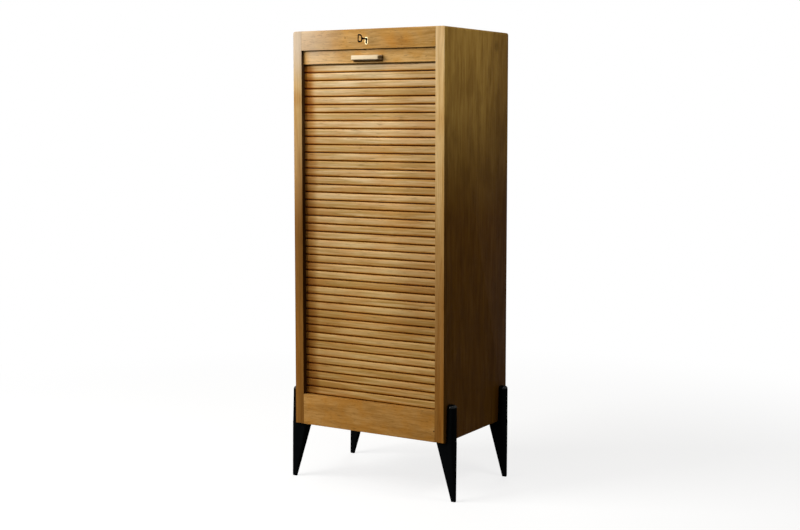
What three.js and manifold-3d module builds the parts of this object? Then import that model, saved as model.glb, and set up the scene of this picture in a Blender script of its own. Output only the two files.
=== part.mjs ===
// A tall tambour door cabinet on four tapered legs. Millimetres, X right, Y back, Z up.
// The front curtain of slats slides down behind the bottom rail. A lock sits in the top rail.
import * as THREE from 'three';
import { mergeVertices } from 'three/addons/utils/BufferGeometryUtils.js';
import Module from 'manifold-3d';

const wasm = await Module();
wasm.setup();

// Case
const caseWidth = 500;
const caseHeight = 1139;
const caseDepth = 375;
const legDrop = 166;
const sideThickness = 20;
const frameThickness = 15;
const stileWidth = 29;
const topRailHeight = 55.5;
const topRailThickness = 22;
const bottomRailHeight = 88.3;
const edgeRound = 2.5;
const cornerRound = 7;
const topThickness = 18;
const bottomThickness = 16;
const shelfThickness = 16;
const backThickness = 8;
const falseBackThickness = 6;
const housingDepth = 5;
const housingSetback = 8;
const shelfCount = 4;
const fitGap = 0.3;
const cutOverrun = 2;

// Curtain
const slatCount = 42;
const tailSlatCount = 2;
const slatsPerGroup = 2;
const slatThickness = 7.2;
const canvasThickness = 0.8;
const slatGap = 0.6;
const slatBevelWidth = 2;
const slatBevelDepth = 4;
const leadRailHeight = 38.8;
const leadRailRecess = 9;
const leadTopGap = 1.5;
const leadSlatGap = 1.3;
const leadRebate = 4;
const leadEdgeRound = 2;
const leadSideGap = 0.8;
const frontPlay = 1;
const backPlay = 0.6;
const grooveDepth = 8;
const grooveEndPlay = 1.5;
const grooveFloorGap = 1.9;
const bendRadius = 42;
const backRunPlay = 4;
const guideDepth = 9.4;
const floorFrontGap = 2;

// Handle
const handleLength = 93.4;
const handleHeight = 14;
const handleReach = 21;
const handleDrop = 24.3;
const handleCornerRound = 6;
const handleBackRound = 1;
const fingerCoveRadius = 5;
const fingerCoveLength = 60;
const fingerCoveReach = 12;

// Lock and key
const keyAxisDrop = 28;
const lockWidth = 56;
const lockHeight = 42;
const lockWall = 1.5;
const lockFrontWood = 8;
const coverThickness = 1.5;
const coverEar = 8;
const linerRim = 2.2;
const linerProud = 0.6;
const keyholeRadius = 3;
const keyholeSlotWidth = 4.6;
const keyholeSlotDrop = 13.5;
const keyShankRadius = 2.2;
const keyReach = 44;
const bowWidth = 22;
const bowHeight = 23;
const bowWireWidth = 4.2;
const bowThickness = 2.2;
const bowCornerShare = 0.25;
const bowBendShare = 0.15;
const bowSwellShare = 0.4;
const keyCollarRadius = 3.4;
const keyCollarLength = 3;
const bitThickness = 2;
const bitLength = 4.3;
const bitDrop = 12.3;
const bitFrontGap = 1.7;
const boltThickness = 4;
const boltHeight = 4.6;
const boltTongue = 12.6;
const boltTail = 14;
const boltRise = 24;
const linkPlateLength = 44;
const linkPlateWidth = 10;
const linkPlateThickness = 1.5;
const linkOffset = 16;
const linkThickness = 4;
const linkWidth = 8.6;
const linkEye = 6;
const linkWall = 2.6;
const linkSlotPlay = 0.7;

// Legs
const shoulderWidth = 54;
const shoulderDepth = 34;
const legReach = 21;
const legCornerRound = 9;
const legUpperHeight = 104;
const legUpperTopDepth = 29;
const legUpperInset = 0.4;
const legUpperRoot = 1;
const legCrownHeight = 9;
const legCrownInset = 6;
const crownShoulderShare = 0.33;
const frontLegSetback = 26;
const rearLegSetback = 38;
const legLean = 4;
const tipReach = 26.5;
const tipWidth = 15.5;
const tipDepth = 9;
const tipCornerRound = 4;
const tipEndHeight = 4;
const tipEndInset = 2.2;

// Screws
const legScrewRadius = 2.2;
const legScrewLength = 33;
const legScrewDrop = 11.3;
const legScrewOffset = 6;
const handleScrewRadius = 2;
const handleScrewLength = 25;
const handleScrewSpacing = 66;
const lockScrewRadius = 1.5;
const lockScrewLength = 10;
const screwHeadShare = 1.9;

// Places worked out from the sizes above
const halfWidth = caseWidth / 2;
const openingHalf = halfWidth - stileWidth;
const openingTop = caseHeight - topRailHeight;
const sill = bottomRailHeight;
const sideInner = halfWidth - sideThickness;
const boardHalf = sideInner - fitGap;
const sideFront = frameThickness + fitGap;
const slatFront = frameThickness + frontPlay;
const slatBack = slatFront + slatThickness;
const curtainBack = slatBack + canvasThickness;
const curtainThickness = slatThickness + canvasThickness;
const curtainMiddle = slatFront + curtainThickness / 2;
const grooveBack = curtainBack + backPlay;
const grooveHalf = grooveBack - curtainMiddle;
const curtainHalf = sideInner + grooveDepth - grooveEndPlay;
const backPanelFront = caseDepth - backThickness;
const backRunMiddle = backPanelFront - backRunPlay - curtainThickness / 2;
const falseBackRear = backRunMiddle - curtainThickness / 2 - backRunPlay - fitGap;
const falseBackFront = falseBackRear - falseBackThickness;
const grooveLowMiddle = bottomThickness + grooveFloorGap + grooveHalf;
const bendCentreHeight = grooveLowMiddle + bendRadius;
const topUnderside = caseHeight - topThickness;
const guideBack = grooveBack + guideDepth;
const floorFront = curtainBack + floorFrontGap;
const shelfFront = guideBack + floorFrontGap;
const shelfRear = falseBackFront - fitGap;
const leadTop = openingTop - leadTopGap;
const leadBottom = openingTop - leadRailHeight;
const slatFieldTop = leadBottom - leadSlatGap;
const slatPitch = (slatFieldTop - sill) / slatCount;
const groupCount = (slatCount + tailSlatCount) / slatsPerGroup;
const handleTop = openingTop - handleDrop + handleHeight / 2;
const handleBottom = handleTop - handleHeight;
const keyAxis = caseHeight - keyAxisDrop;
const lockFront = lockFrontWood + fitGap;
const lockBack = topRailThickness - fitGap;
const lockBottom = openingTop + fitGap;
const lockTop = lockBottom + lockHeight;
const coverFront = topRailThickness + fitGap;
const bitFront = lockFront + bitFrontGap;
const boltFront = bitFront + bitLength + fitGap + fitGap;
const boltMiddle = boltFront + boltThickness / 2;
const linkBase = leadTop - linkPlateThickness;
const eyeBottom = lockBottom + lockWall + fitGap;
const eyeMiddle = eyeBottom + linkEye / 2;
const legScrewHeight = sill - shelfThickness - legScrewDrop;

const colours = {
  oak: 0xa9783f,
  sideOak: 0x8a6231,
  slatOak: 0xb58449,
  paleWood: 0xd9bd8c,
  plainWood: 0xb08b58,
  lacquer: 0x0c0c0d,
  brass: 0xc9a24a,
  iron: 0x3a2a1e,
  steel: 0x9a9a98,
};

const cabinet = new THREE.Group();

function addPiece(name, geometry, colour, roughness, metalness) {
  const material = new THREE.MeshStandardMaterial({ color: colour, roughness, metalness });
  const mesh = new THREE.Mesh(geometry, material);
  mesh.name = name;
  cabinet.add(mesh);
  return mesh;
}

function addWood(name, geometry, colour) {
  return addPiece(name, geometry, colour, 0.55, 0);
}

function addMetal(name, geometry, colour) {
  return addPiece(name, geometry, colour, 0.35, 1);
}

// Solids and cuts

function solidOf(geometry) {
  const bare = new THREE.BufferGeometry();
  bare.setAttribute('position', geometry.getAttribute('position').clone());
  if (geometry.index) {
    bare.setIndex(geometry.index.clone());
  }
  const merged = mergeVertices(bare);
  const vertProperties = new Float32Array(merged.getAttribute('position').array);
  const triVerts = new Uint32Array(merged.index.array);
  return new wasm.Manifold(new wasm.Mesh({ numProp: 3, vertProperties, triVerts }));
}

function geometryOf(solid) {
  const mesh = solid.getMesh();
  const geometry = new THREE.BufferGeometry();
  geometry.setAttribute('position', new THREE.BufferAttribute(mesh.vertProperties, 3));
  geometry.setIndex(new THREE.BufferAttribute(mesh.triVerts, 1));
  geometry.computeVertexNormals();
  return geometry;
}

function cut(geometry, tools) {
  return geometryOf(tools.reduce((left, tool) => left.subtract(solidOf(tool)), solidOf(geometry)));
}

function join(geometries) {
  const [first, ...rest] = geometries.map(solidOf);
  return geometryOf(rest.reduce((whole, next) => whole.add(next), first));
}

function block(x0, x1, y0, y1, z0, z1) {
  const geometry = new THREE.BoxGeometry(x1 - x0, y1 - y0, z1 - z0);
  return geometry.translate((x0 + x1) / 2, (y0 + y1) / 2, (z0 + z1) / 2);
}

function outline(points) {
  return new THREE.Shape(points.map(([u, v]) => new THREE.Vector2(u, v)));
}

function extrude(shape, depth, curveSegments) {
  return new THREE.ExtrudeGeometry(shape, { depth, bevelEnabled: false, curveSegments });
}

function extrudeUp(shape, z0, z1) {
  return extrude(shape, z1 - z0, 6).translate(0, 0, z0);
}

// The shape's first axis becomes Y and its second Z.
function extrudeAcross(shape, x0, x1, curveSegments = 6) {
  const geometry = extrude(shape, x1 - x0, curveSegments);
  const alongY = new THREE.Vector3(0, 1, 0);
  const alongZ = new THREE.Vector3(0, 0, 1);
  const alongX = new THREE.Vector3(1, 0, 0);
  geometry.applyMatrix4(new THREE.Matrix4().makeBasis(alongY, alongZ, alongX));
  return geometry.translate(x0, 0, 0);
}

// The shape's first axis becomes X and its second Z.
function extrudeDeep(shape, y0, y1) {
  const geometry = extrude(shape, y1 - y0, 8);
  const alongX = new THREE.Vector3(1, 0, 0);
  const alongZ = new THREE.Vector3(0, 0, 1);
  const forward = new THREE.Vector3(0, -1, 0);
  geometry.applyMatrix4(new THREE.Matrix4().makeBasis(alongX, alongZ, forward));
  return geometry.translate(0, y1, 0);
}

function rod(radius, y0, y1, x, z) {
  const geometry = new THREE.CylinderGeometry(radius, radius, y1 - y0, 16);
  return geometry.translate(0, (y0 + y1) / 2, 0).translate(x, 0, z);
}

// A countersunk wood screw along +Y, with its head's flat face at the origin.
// Play widens it into the hole that it sits in.
function screw(radius, length, play) {
  const head = radius * screwHeadShare;
  const headLength = head - radius;
  const profile = [[0, -play], [head + play, -play]];
  if (play > 0) {
    profile.push([head + play, 0]);
  }
  profile.push([radius + play, headLength], [radius + play, length - radius], [0, length + play]);
  return new THREE.LatheGeometry(profile.map(([u, v]) => new THREE.Vector2(u, v)), 12);
}

// Case

// What the round along the top outer edge takes away, over the whole depth of the case.
function cornerWaste(side) {
  const roundX = side * (halfWidth - cornerRound);
  const roundZ = caseHeight - cornerRound;
  const outside = side * (halfWidth + cutOverrun);
  const above = caseHeight + cutOverrun;
  const shape = new THREE.Shape();
  shape.moveTo(outside, roundZ);
  shape.lineTo(outside, above);
  shape.lineTo(roundX, above);
  shape.lineTo(roundX, caseHeight);
  shape.absarc(roundX, roundZ, cornerRound, Math.PI / 2, side > 0 ? 0 : Math.PI, side > 0);
  shape.closePath();
  return extrudeDeep(shape, -cutOverrun, caseDepth + cutOverrun);
}

function stile(side) {
  const outer = side * halfWidth;
  const inner = side * openingHalf;
  const roundX = outer - side * edgeRound;
  const shape = new THREE.Shape();
  shape.moveTo(inner, frameThickness);
  shape.lineTo(inner, 0);
  shape.lineTo(roundX, 0);
  shape.quadraticCurveTo(outer, 0, outer, edgeRound);
  shape.lineTo(outer, frameThickness);
  shape.closePath();
  return cut(extrudeUp(shape, 0, caseHeight), [cornerWaste(side)]);
}

// The groove's path in a side: down behind the stile, under the floor and up behind the false back.
function grooveShape() {
  const front = sideFront - cutOverrun;
  const low = grooveLowMiddle - grooveHalf;
  const innerLow = grooveLowMiddle + grooveHalf;
  const top = openingTop;
  const innerRadius = bendRadius - grooveHalf;
  const outerRadius = bendRadius + grooveHalf;
  const frontCentre = curtainMiddle + bendRadius;
  const backCentre = backRunMiddle - bendRadius;
  const shape = new THREE.Shape();
  shape.moveTo(front, top);
  shape.lineTo(front, low);
  shape.lineTo(backCentre, low);
  shape.absarc(backCentre, bendCentreHeight, outerRadius, -Math.PI / 2, 0, false);
  shape.lineTo(backRunMiddle + grooveHalf, top);
  shape.lineTo(backRunMiddle - grooveHalf, top);
  shape.lineTo(backRunMiddle - grooveHalf, bendCentreHeight);
  shape.absarc(backCentre, bendCentreHeight, innerRadius, 0, -Math.PI / 2, true);
  shape.lineTo(frontCentre, innerLow);
  shape.absarc(frontCentre, bendCentreHeight, innerRadius, -Math.PI / 2, -Math.PI, true);
  shape.lineTo(grooveBack, top);
  shape.closePath();
  return shape;
}

function shelfHeights() {
  const clear = topUnderside - sill - shelfCount * shelfThickness;
  const step = clear / (shelfCount + 1);
  const heights = [];
  for (let n = 1; n <= shelfCount; n += 1) {
    heights.push(sill + n * step + (n - 1) * shelfThickness);
  }
  return heights;
}

function legMiddles() {
  return [frontLegSetback, caseDepth - rearLegSetback];
}

function sidePanel(side) {
  const inner = side * sideInner;
  const outer = side * halfWidth;
  const span = (depth) => [inner - side * cutOverrun, inner + side * depth].sort((a, b) => a - b);
  const body = block(Math.min(inner, outer), Math.max(inner, outer), sideFront, caseDepth, 0, caseHeight);
  const tools = [cornerWaste(side), extrudeAcross(grooveShape(), ...span(grooveDepth), 8)];
  const housings = [[floorFront, sill - shelfThickness]];
  shelfHeights().forEach((height) => housings.push([shelfFront, height]));
  housings.forEach(([front, height]) => {
    const y0 = front + housingSetback - fitGap;
    const high = height + shelfThickness + fitGap;
    tools.push(block(...span(housingDepth), y0, falseBackFront, height - fitGap, high));
  });
  legMiddles().forEach((middle) => tools.push(legScrew(side, middle, fitGap)));
  return cut(body, tools);
}

// A board let into both sides by its ends, behind a setback that hides the housing.
function housedBoard(front, z0) {
  const tongue = sideInner + housingDepth - fitGap;
  const step = front + housingSetback;
  const shape = outline([
    [-boardHalf, front],
    [boardHalf, front],
    [boardHalf, step],
    [tongue, step],
    [tongue, shelfRear],
    [-tongue, shelfRear],
    [-tongue, step],
    [-boardHalf, step],
  ]);
  return extrudeUp(shape, z0, z0 + shelfThickness);
}

function topPanel() {
  const notchHalf = openingHalf;
  const notchBack = topRailThickness + fitGap;
  const shape = outline([
    [-boardHalf, sideFront],
    [-notchHalf, sideFront],
    [-notchHalf, notchBack],
    [notchHalf, notchBack],
    [notchHalf, sideFront],
    [boardHalf, sideFront],
    [boardHalf, backPanelFront - fitGap],
    [-boardHalf, backPanelFront - fitGap],
  ]);
  return extrudeUp(shape, topUnderside, caseHeight);
}

function keyholeShape(grow) {
  const radius = keyholeRadius + grow;
  const half = keyholeSlotWidth / 2 + grow;
  const low = keyAxis - keyholeSlotDrop + keyholeSlotWidth / 2;
  const meet = Math.asin(half / radius);
  const shape = new THREE.Shape();
  shape.absarc(0, keyAxis, radius, meet - Math.PI / 2, Math.PI * 1.5 - meet, false);
  shape.lineTo(-half, low);
  shape.absarc(0, low, half, Math.PI, Math.PI * 2, false);
  shape.closePath();
  return shape;
}

function topRail() {
  const half = openingHalf - fitGap;
  const shape = new THREE.Shape();
  shape.moveTo(0, openingTop);
  shape.lineTo(topRailThickness, openingTop);
  shape.lineTo(topRailThickness, caseHeight);
  shape.lineTo(edgeRound, caseHeight);
  shape.quadraticCurveTo(0, caseHeight, 0, caseHeight - edgeRound);
  shape.closePath();
  const body = extrudeAcross(shape, -half, half);
  const recessHalf = lockWidth / 2 + fitGap;
  const recessBack = topRailThickness + cutOverrun;
  const recessLow = openingTop - cutOverrun;
  const recess = block(-recessHalf, recessHalf, lockFrontWood, recessBack, recessLow, lockTop + fitGap);
  const keyhole = extrudeDeep(keyholeShape(linerRim + fitGap), -cutOverrun, lockFrontWood + cutOverrun);
  return cut(body, [recess, keyhole, ...lockScrews(fitGap)]);
}

function bottomRail() {
  const half = openingHalf - fitGap;
  return block(-half, half, 0, frameThickness, 0, sill);
}

function addCase() {
  [[-1, 'left'], [1, 'right']].forEach(([side, word]) => {
    addWood('side_panel_' + word, sidePanel(side), colours.sideOak);
    addWood('front_stile_' + word, stile(side), colours.oak);
    const guideOuter = side * boardHalf;
    const guideInner = side * openingHalf;
    const strip = block(
      Math.min(guideOuter, guideInner), Math.max(guideOuter, guideInner),
      grooveBack, guideBack, sill + fitGap, openingTop,
    );
    addWood('curtain_guide_' + word, strip, colours.plainWood);
  });
  addWood('top_rail', topRail(), colours.oak);
  addWood('bottom_rail', bottomRail(), colours.oak);
  addWood('top_panel', topPanel(), colours.sideOak);
  const board = (y0, y1, z0, z1) => block(-boardHalf, boardHalf, y0, y1, z0, z1);
  addWood('bottom_board', board(sideFront, backPanelFront - fitGap, 0, bottomThickness), colours.plainWood);
  addWood('back_panel', board(backPanelFront, caseDepth, 0, caseHeight), colours.plainWood);
  const falseBack = board(falseBackFront, falseBackRear, sill + fitGap, topUnderside - fitGap);
  addWood('false_back', falseBack, colours.plainWood);
  addWood('inner_floor', housedBoard(floorFront, sill - shelfThickness), colours.plainWood);
  shelfHeights().forEach((height, n) => {
    addWood('shelf_' + (n + 1), housedBoard(shelfFront, height), colours.plainWood);
  });
}

// Legs

function legRing(x0, x1, y0, y1, radius, z, side) {
  const corners = [
    [x1 - radius, y1 - radius],
    [x0 + radius, y1 - radius],
    [x0 + radius, y0 + radius],
    [x1 - radius, y0 + radius],
  ];
  const steps = 4;
  const ring = [];
  corners.forEach(([cx, cy], n) => {
    for (let k = 0; k <= steps; k += 1) {
      const angle = (n + k / steps) * Math.PI / 2;
      ring.push([side * (cx + radius * Math.cos(angle)), cy + radius * Math.sin(angle), z]);
    }
  });
  return side > 0 ? ring : ring.reverse();
}

// Closes a stack of rings, lowest first, each anticlockwise from above.
function loft(rings) {
  const count = rings[0].length;
  const positions = rings.flat(2);
  const index = [];
  for (let r = 0; r + 1 < rings.length; r += 1) {
    for (let n = 0; n < count; n += 1) {
      const a = r * count + n;
      const b = r * count + (n + 1) % count;
      index.push(a, b, b + count, a, b + count, a + count);
    }
  }
  const last = (rings.length - 1) * count;
  for (let n = 1; n + 1 < count; n += 1) {
    index.push(0, n + 1, n);
    index.push(last, last + n, last + n + 1);
  }
  const geometry = new THREE.BufferGeometry();
  geometry.setAttribute('position', new THREE.Float32BufferAttribute(positions, 3));
  geometry.setIndex(index);
  return geometry;
}

function legScrew(side, middle, play) {
  const geometry = screw(legScrewRadius, legScrewLength, play);
  geometry.rotateZ(-side * Math.PI / 2);
  return geometry.translate(side * sideInner, middle + legScrewOffset, legScrewHeight);
}

function leg(side, middle) {
  const outer = halfWidth + legReach;
  const inner = outer - shoulderWidth;
  const half = shoulderDepth / 2;
  const top = -fitGap;
  const tipMiddle = halfWidth + tipReach - tipWidth / 2;
  const tipY = middle - legLean;
  const tipRing = (inset, z) => legRing(
    tipMiddle - tipWidth / 2 + inset, tipMiddle + tipWidth / 2 - inset,
    tipY - tipDepth / 2 + inset, tipY + tipDepth / 2 - inset,
    tipCornerRound - inset, z, side,
  );
  const lower = loft([
    tipRing(tipEndInset, -legDrop),
    tipRing(0, tipEndHeight - legDrop),
    legRing(inner, outer, middle - half, middle + half, legCornerRound, top, side),
  ]);
  const panel = halfWidth + fitGap;
  const upperOuter = outer - legUpperInset;
  const upperRear = middle + half - legUpperInset;
  const upperDepth = shoulderDepth - 2 * legUpperInset;
  const flatTop = legUpperHeight - legCrownHeight;
  const upperRing = (depth, inset, z) => legRing(
    panel, upperOuter - inset, upperRear - depth + inset, upperRear - inset,
    legCornerRound - legUpperInset - inset, z, side,
  );
  const upper = loft([
    upperRing(upperDepth, legUpperInset, top - legUpperRoot),
    upperRing(upperDepth, 0, top),
    upperRing(legUpperTopDepth, 0, flatTop),
    upperRing(legUpperTopDepth, legCrownInset * crownShoulderShare, flatTop + legCrownHeight / 2),
    upperRing(legUpperTopDepth, legCrownInset, legUpperHeight),
  ]);
  return cut(join([lower, upper]), [legScrew(side, middle, fitGap)]);
}

function addLegs() {
  const words = ['front', 'rear'];
  legMiddles().forEach((middle, n) => {
    [[-1, 'left'], [1, 'right']].forEach(([side, word]) => {
      const place = words[n] + '_' + word;
      addPiece('leg_' + place, leg(side, middle), colours.lacquer, 0.25, 0);
      addMetal('leg_screw_' + place, legScrew(side, middle, 0), colours.steel);
    });
  });
}

// Curtain

function slatGroupShape(top) {
  const back = curtainBack;
  const bevelBack = slatFront + slatBevelDepth;
  const points = [];
  for (let n = 0; n < slatsPerGroup; n += 1) {
    const high = top - n * slatPitch - slatGap / 2;
    const low = top - (n + 1) * slatPitch + slatGap / 2;
    points.push([slatBack, high]);
    points.push([bevelBack, high]);
    points.push([slatFront, high - slatBevelWidth]);
    points.push([slatFront, low + slatBevelWidth]);
    points.push([bevelBack, low]);
    points.push([slatBack, low]);
  }
  const groupLow = top - slatsPerGroup * slatPitch + slatGap / 2;
  points.push([back, groupLow]);
  points.push([back, top - slatGap / 2]);
  return outline(points.reverse());
}

function linkPlateRecess() {
  const half = linkPlateLength / 2 + fitGap;
  const depth = linkPlateWidth / 2 + fitGap;
  const floor = linkBase - fitGap;
  return block(-half, half, boltMiddle - depth, boltMiddle + depth, floor, leadTop + cutOverrun);
}

function handleScrews(play) {
  return [-1, 1].map((side) => {
    const geometry = screw(handleScrewRadius, handleScrewLength, play);
    geometry.rotateX(Math.PI);
    return geometry.translate(side * handleScrewSpacing / 2, curtainBack, handleBottom + handleHeight / 2);
  });
}

function leadRail() {
  const half = openingHalf - leadSideGap;
  const rebateFront = slatFront + leadRebate;
  const rebateLow = slatFieldTop + fitGap;
  const shape = new THREE.Shape();
  shape.moveTo(leadRailRecess, leadBottom + leadEdgeRound);
  shape.quadraticCurveTo(leadRailRecess, leadBottom, leadRailRecess + leadEdgeRound, leadBottom);
  shape.lineTo(rebateFront, leadBottom);
  shape.lineTo(rebateFront, rebateLow);
  shape.lineTo(curtainBack, rebateLow);
  shape.lineTo(curtainBack, leadTop);
  shape.lineTo(leadRailRecess + leadEdgeRound, leadTop);
  shape.quadraticCurveTo(leadRailRecess, leadTop, leadRailRecess, leadTop - leadEdgeRound);
  shape.closePath();
  const body = extrudeAcross(shape, -half, half);
  const tongue = block(-curtainHalf, curtainHalf, slatFront, curtainBack, leadBottom, leadTop);
  return cut(join([body, tongue]), [linkPlateRecess(), ...handleScrews(fitGap)]);
}

function handle() {
  const half = handleLength / 2;
  const back = leadRailRecess - fitGap;
  const front = leadRailRecess - handleReach;
  const shape = new THREE.Shape();
  shape.moveTo(half, back - handleBackRound);
  shape.lineTo(half - handleBackRound, back);
  shape.lineTo(handleBackRound - half, back);
  shape.lineTo(-half, back - handleBackRound);
  const round = handleCornerRound;
  shape.lineTo(-half, front + round);
  shape.absarc(round - half, front + round, round, Math.PI, Math.PI * 1.5, false);
  shape.absarc(half - round, front + round, round, Math.PI * 1.5, Math.PI * 2, false);
  shape.closePath();
  const body = extrudeUp(shape, handleBottom, handleTop);
  const cove = new THREE.CylinderGeometry(fingerCoveRadius, fingerCoveRadius, fingerCoveLength, 16);
  cove.rotateZ(Math.PI / 2).translate(0, front + fingerCoveReach, handleBottom);
  return cut(body, [cove, ...handleScrews(fitGap)]);
}

function linkPlate() {
  const half = linkPlateLength / 2;
  const depth = linkPlateWidth / 2;
  const plate = block(-half, half, boltMiddle - depth, boltMiddle + depth, linkBase, leadTop);
  const high = eyeMiddle + linkEye / 2 + linkWall;
  const left = -linkOffset - linkThickness / 2;
  const right = -linkOffset + linkThickness / 2;
  const lug = block(left, right, boltMiddle - linkWidth / 2, boltMiddle + linkWidth / 2, linkBase, high);
  const eye = block(
    left - cutOverrun, right + cutOverrun,
    boltMiddle - linkEye / 2, boltMiddle + linkEye / 2,
    eyeMiddle - linkEye / 2, eyeMiddle + linkEye / 2,
  );
  return cut(join([plate, lug]), [eye]);
}

function addCurtain() {
  addWood('lead_rail', leadRail(), colours.oak);
  addWood('pull_handle', handle(), colours.paleWood);
  handleScrews(0).forEach((geometry, n) => addMetal('handle_screw_' + (n + 1), geometry, colours.steel));
  addMetal('link_plate', linkPlate(), colours.brass);
  for (let n = 0; n < groupCount; n += 1) {
    const top = slatFieldTop - n * slatsPerGroup * slatPitch;
    const name = 'slat_pair_' + String(n + 1).padStart(2, '0');
    addWood(name, extrudeAcross(slatGroupShape(top), -curtainHalf, curtainHalf), colours.slatOak);
  }
}

// Lock

function lockScrews(play) {
  const reach = lockWidth / 2 + coverEar / 2;
  const height = (lockBottom + lockTop) / 2;
  return [-1, 1].map((side) => {
    const geometry = screw(lockScrewRadius, lockScrewLength, play);
    geometry.rotateX(Math.PI);
    return geometry.translate(side * reach, coverFront + coverThickness, height);
  });
}

function lockCase() {
  const half = lockWidth / 2;
  const body = block(-half, half, lockFront, lockBack, lockBottom, lockTop);
  const cavity = block(
    lockWall - half, half - lockWall, lockFront + lockWall, lockBack + cutOverrun,
    lockBottom + lockWall, lockTop - lockWall,
  );
  const slotHalf = linkThickness / 2 + linkSlotPlay;
  const slotFront = boltMiddle - linkWidth / 2 - linkSlotPlay;
  const slot = block(
    -linkOffset - slotHalf, -linkOffset + slotHalf, slotFront, lockBack + cutOverrun,
    lockBottom - cutOverrun, lockBottom + lockWall + cutOverrun,
  );
  const keyhole = extrudeDeep(keyholeShape(0), lockFront - cutOverrun, lockFront + lockWall + cutOverrun);
  return cut(body, [cavity, slot, keyhole]);
}

function lockCover() {
  const half = lockWidth / 2 + coverEar;
  return cut(
    block(-half, half, coverFront, coverFront + coverThickness, lockBottom, topUnderside - fitGap),
    lockScrews(fitGap),
  );
}

function lockBolt() {
  const low = eyeMiddle - boltHeight / 2;
  const back = boltFront + boltThickness;
  return join([
    block(-boltTongue, boltTail, boltFront, back, low, low + boltHeight),
    block(0, boltTail, boltFront, back, low, low + boltRise),
  ]);
}

// The key's bow is a wire bent to a D, with its flat side outwards.
function bowShape() {
  const shape = new THREE.Shape();
  const draw = (path, inset) => {
    const far = inset - keyReach;
    const near = bowWidth - keyReach - inset;
    const low = keyAxis - bowHeight / 2 + inset;
    const high = keyAxis + bowHeight / 2 - inset;
    const round = bowWidth * bowCornerShare - inset / 2;
    const bend = near - round * bowBendShare;
    const swell = bowHeight * bowSwellShare;
    path.moveTo(far, low + round);
    path.quadraticCurveTo(far, low, far + round, low);
    path.bezierCurveTo(bend, low, near, keyAxis - swell, near, keyAxis);
    path.bezierCurveTo(near, keyAxis + swell, bend, high, far + round, high);
    path.quadraticCurveTo(far, high, far, high - round);
    path.closePath();
  };
  draw(shape, 0);
  const hole = new THREE.Path();
  draw(hole, bowWireWidth);
  shape.holes.push(hole);
  return shape;
}

function key() {
  const bow = extrudeAcross(bowShape(), -bowThickness / 2, bowThickness / 2, 6);
  const bowEnd = bowWidth - keyReach;
  const shankStart = bowEnd - bowWireWidth / 2;
  const shank = rod(keyShankRadius, shankStart, bitFront + bitLength, 0, keyAxis);
  const collar = rod(keyCollarRadius, bowEnd, bowEnd + keyCollarLength, 0, keyAxis);
  const bitHalf = bitThickness / 2;
  const bit = block(-bitHalf, bitHalf, bitFront, bitFront + bitLength, keyAxis - bitDrop, keyAxis);
  return join([bow, shank, collar, bit]);
}

function keyholeLiner() {
  const ring = extrudeDeep(keyholeShape(linerRim), -linerProud, lockFrontWood - fitGap);
  return cut(ring, [extrudeDeep(keyholeShape(0), -cutOverrun, lockFrontWood + cutOverrun)]);
}

function addLock() {
  addMetal('lock_case', lockCase(), colours.steel);
  addMetal('lock_cover', lockCover(), colours.steel);
  lockScrews(0).forEach((geometry, n) => addMetal('lock_screw_' + (n + 1), geometry, colours.brass));
  addMetal('lock_bolt', lockBolt(), colours.steel);
  addMetal('keyhole_liner', keyholeLiner(), colours.brass);
  addMetal('key', key(), colours.iron);
}

addCase();
addLegs();
addCurtain();
addLock();

// The origin is on the floor, at the middle of the whole object's box.
cabinet.position.set(0, (keyReach - caseDepth) / 2, legDrop);

export default cabinet;
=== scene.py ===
"""The looks of a tall tambour door cabinet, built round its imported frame. Metres, X right, Y back, Z up."""

import math
import random

import bmesh
import bpy
from bpy.props import FloatProperty, FloatVectorProperty, IntProperty, PointerProperty
from mathutils import Matrix, Vector


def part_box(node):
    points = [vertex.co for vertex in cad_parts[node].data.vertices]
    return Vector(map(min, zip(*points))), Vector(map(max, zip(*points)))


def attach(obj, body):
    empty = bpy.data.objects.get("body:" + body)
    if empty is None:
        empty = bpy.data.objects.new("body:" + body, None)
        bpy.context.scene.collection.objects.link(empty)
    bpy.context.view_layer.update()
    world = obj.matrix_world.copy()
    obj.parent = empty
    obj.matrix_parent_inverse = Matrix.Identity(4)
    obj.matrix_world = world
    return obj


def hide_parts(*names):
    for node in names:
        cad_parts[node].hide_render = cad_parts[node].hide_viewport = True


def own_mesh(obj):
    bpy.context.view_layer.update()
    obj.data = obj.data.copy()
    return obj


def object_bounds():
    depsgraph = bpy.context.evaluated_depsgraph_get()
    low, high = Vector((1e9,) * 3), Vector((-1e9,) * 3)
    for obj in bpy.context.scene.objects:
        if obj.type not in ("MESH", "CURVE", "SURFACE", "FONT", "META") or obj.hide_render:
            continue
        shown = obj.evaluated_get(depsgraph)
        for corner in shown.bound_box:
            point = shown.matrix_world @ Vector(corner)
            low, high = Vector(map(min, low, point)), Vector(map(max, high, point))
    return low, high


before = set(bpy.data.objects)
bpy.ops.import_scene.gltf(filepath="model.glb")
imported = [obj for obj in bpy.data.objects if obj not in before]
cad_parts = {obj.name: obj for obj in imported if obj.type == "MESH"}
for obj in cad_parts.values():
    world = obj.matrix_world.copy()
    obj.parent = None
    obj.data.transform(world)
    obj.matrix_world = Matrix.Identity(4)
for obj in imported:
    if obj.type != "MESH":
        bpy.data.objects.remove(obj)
CAD_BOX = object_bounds()

bl_info = {
    "name": "Tambour Door Cabinet",
    "version": (1, 0, 0),
    "blender": (4, 5, 0),
    "location": "View3D > Sidebar > Cabinet",
    "description": "Builds the looks of a tall tambour door cabinet round its packed frame",
    "category": "Object",
}

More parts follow.
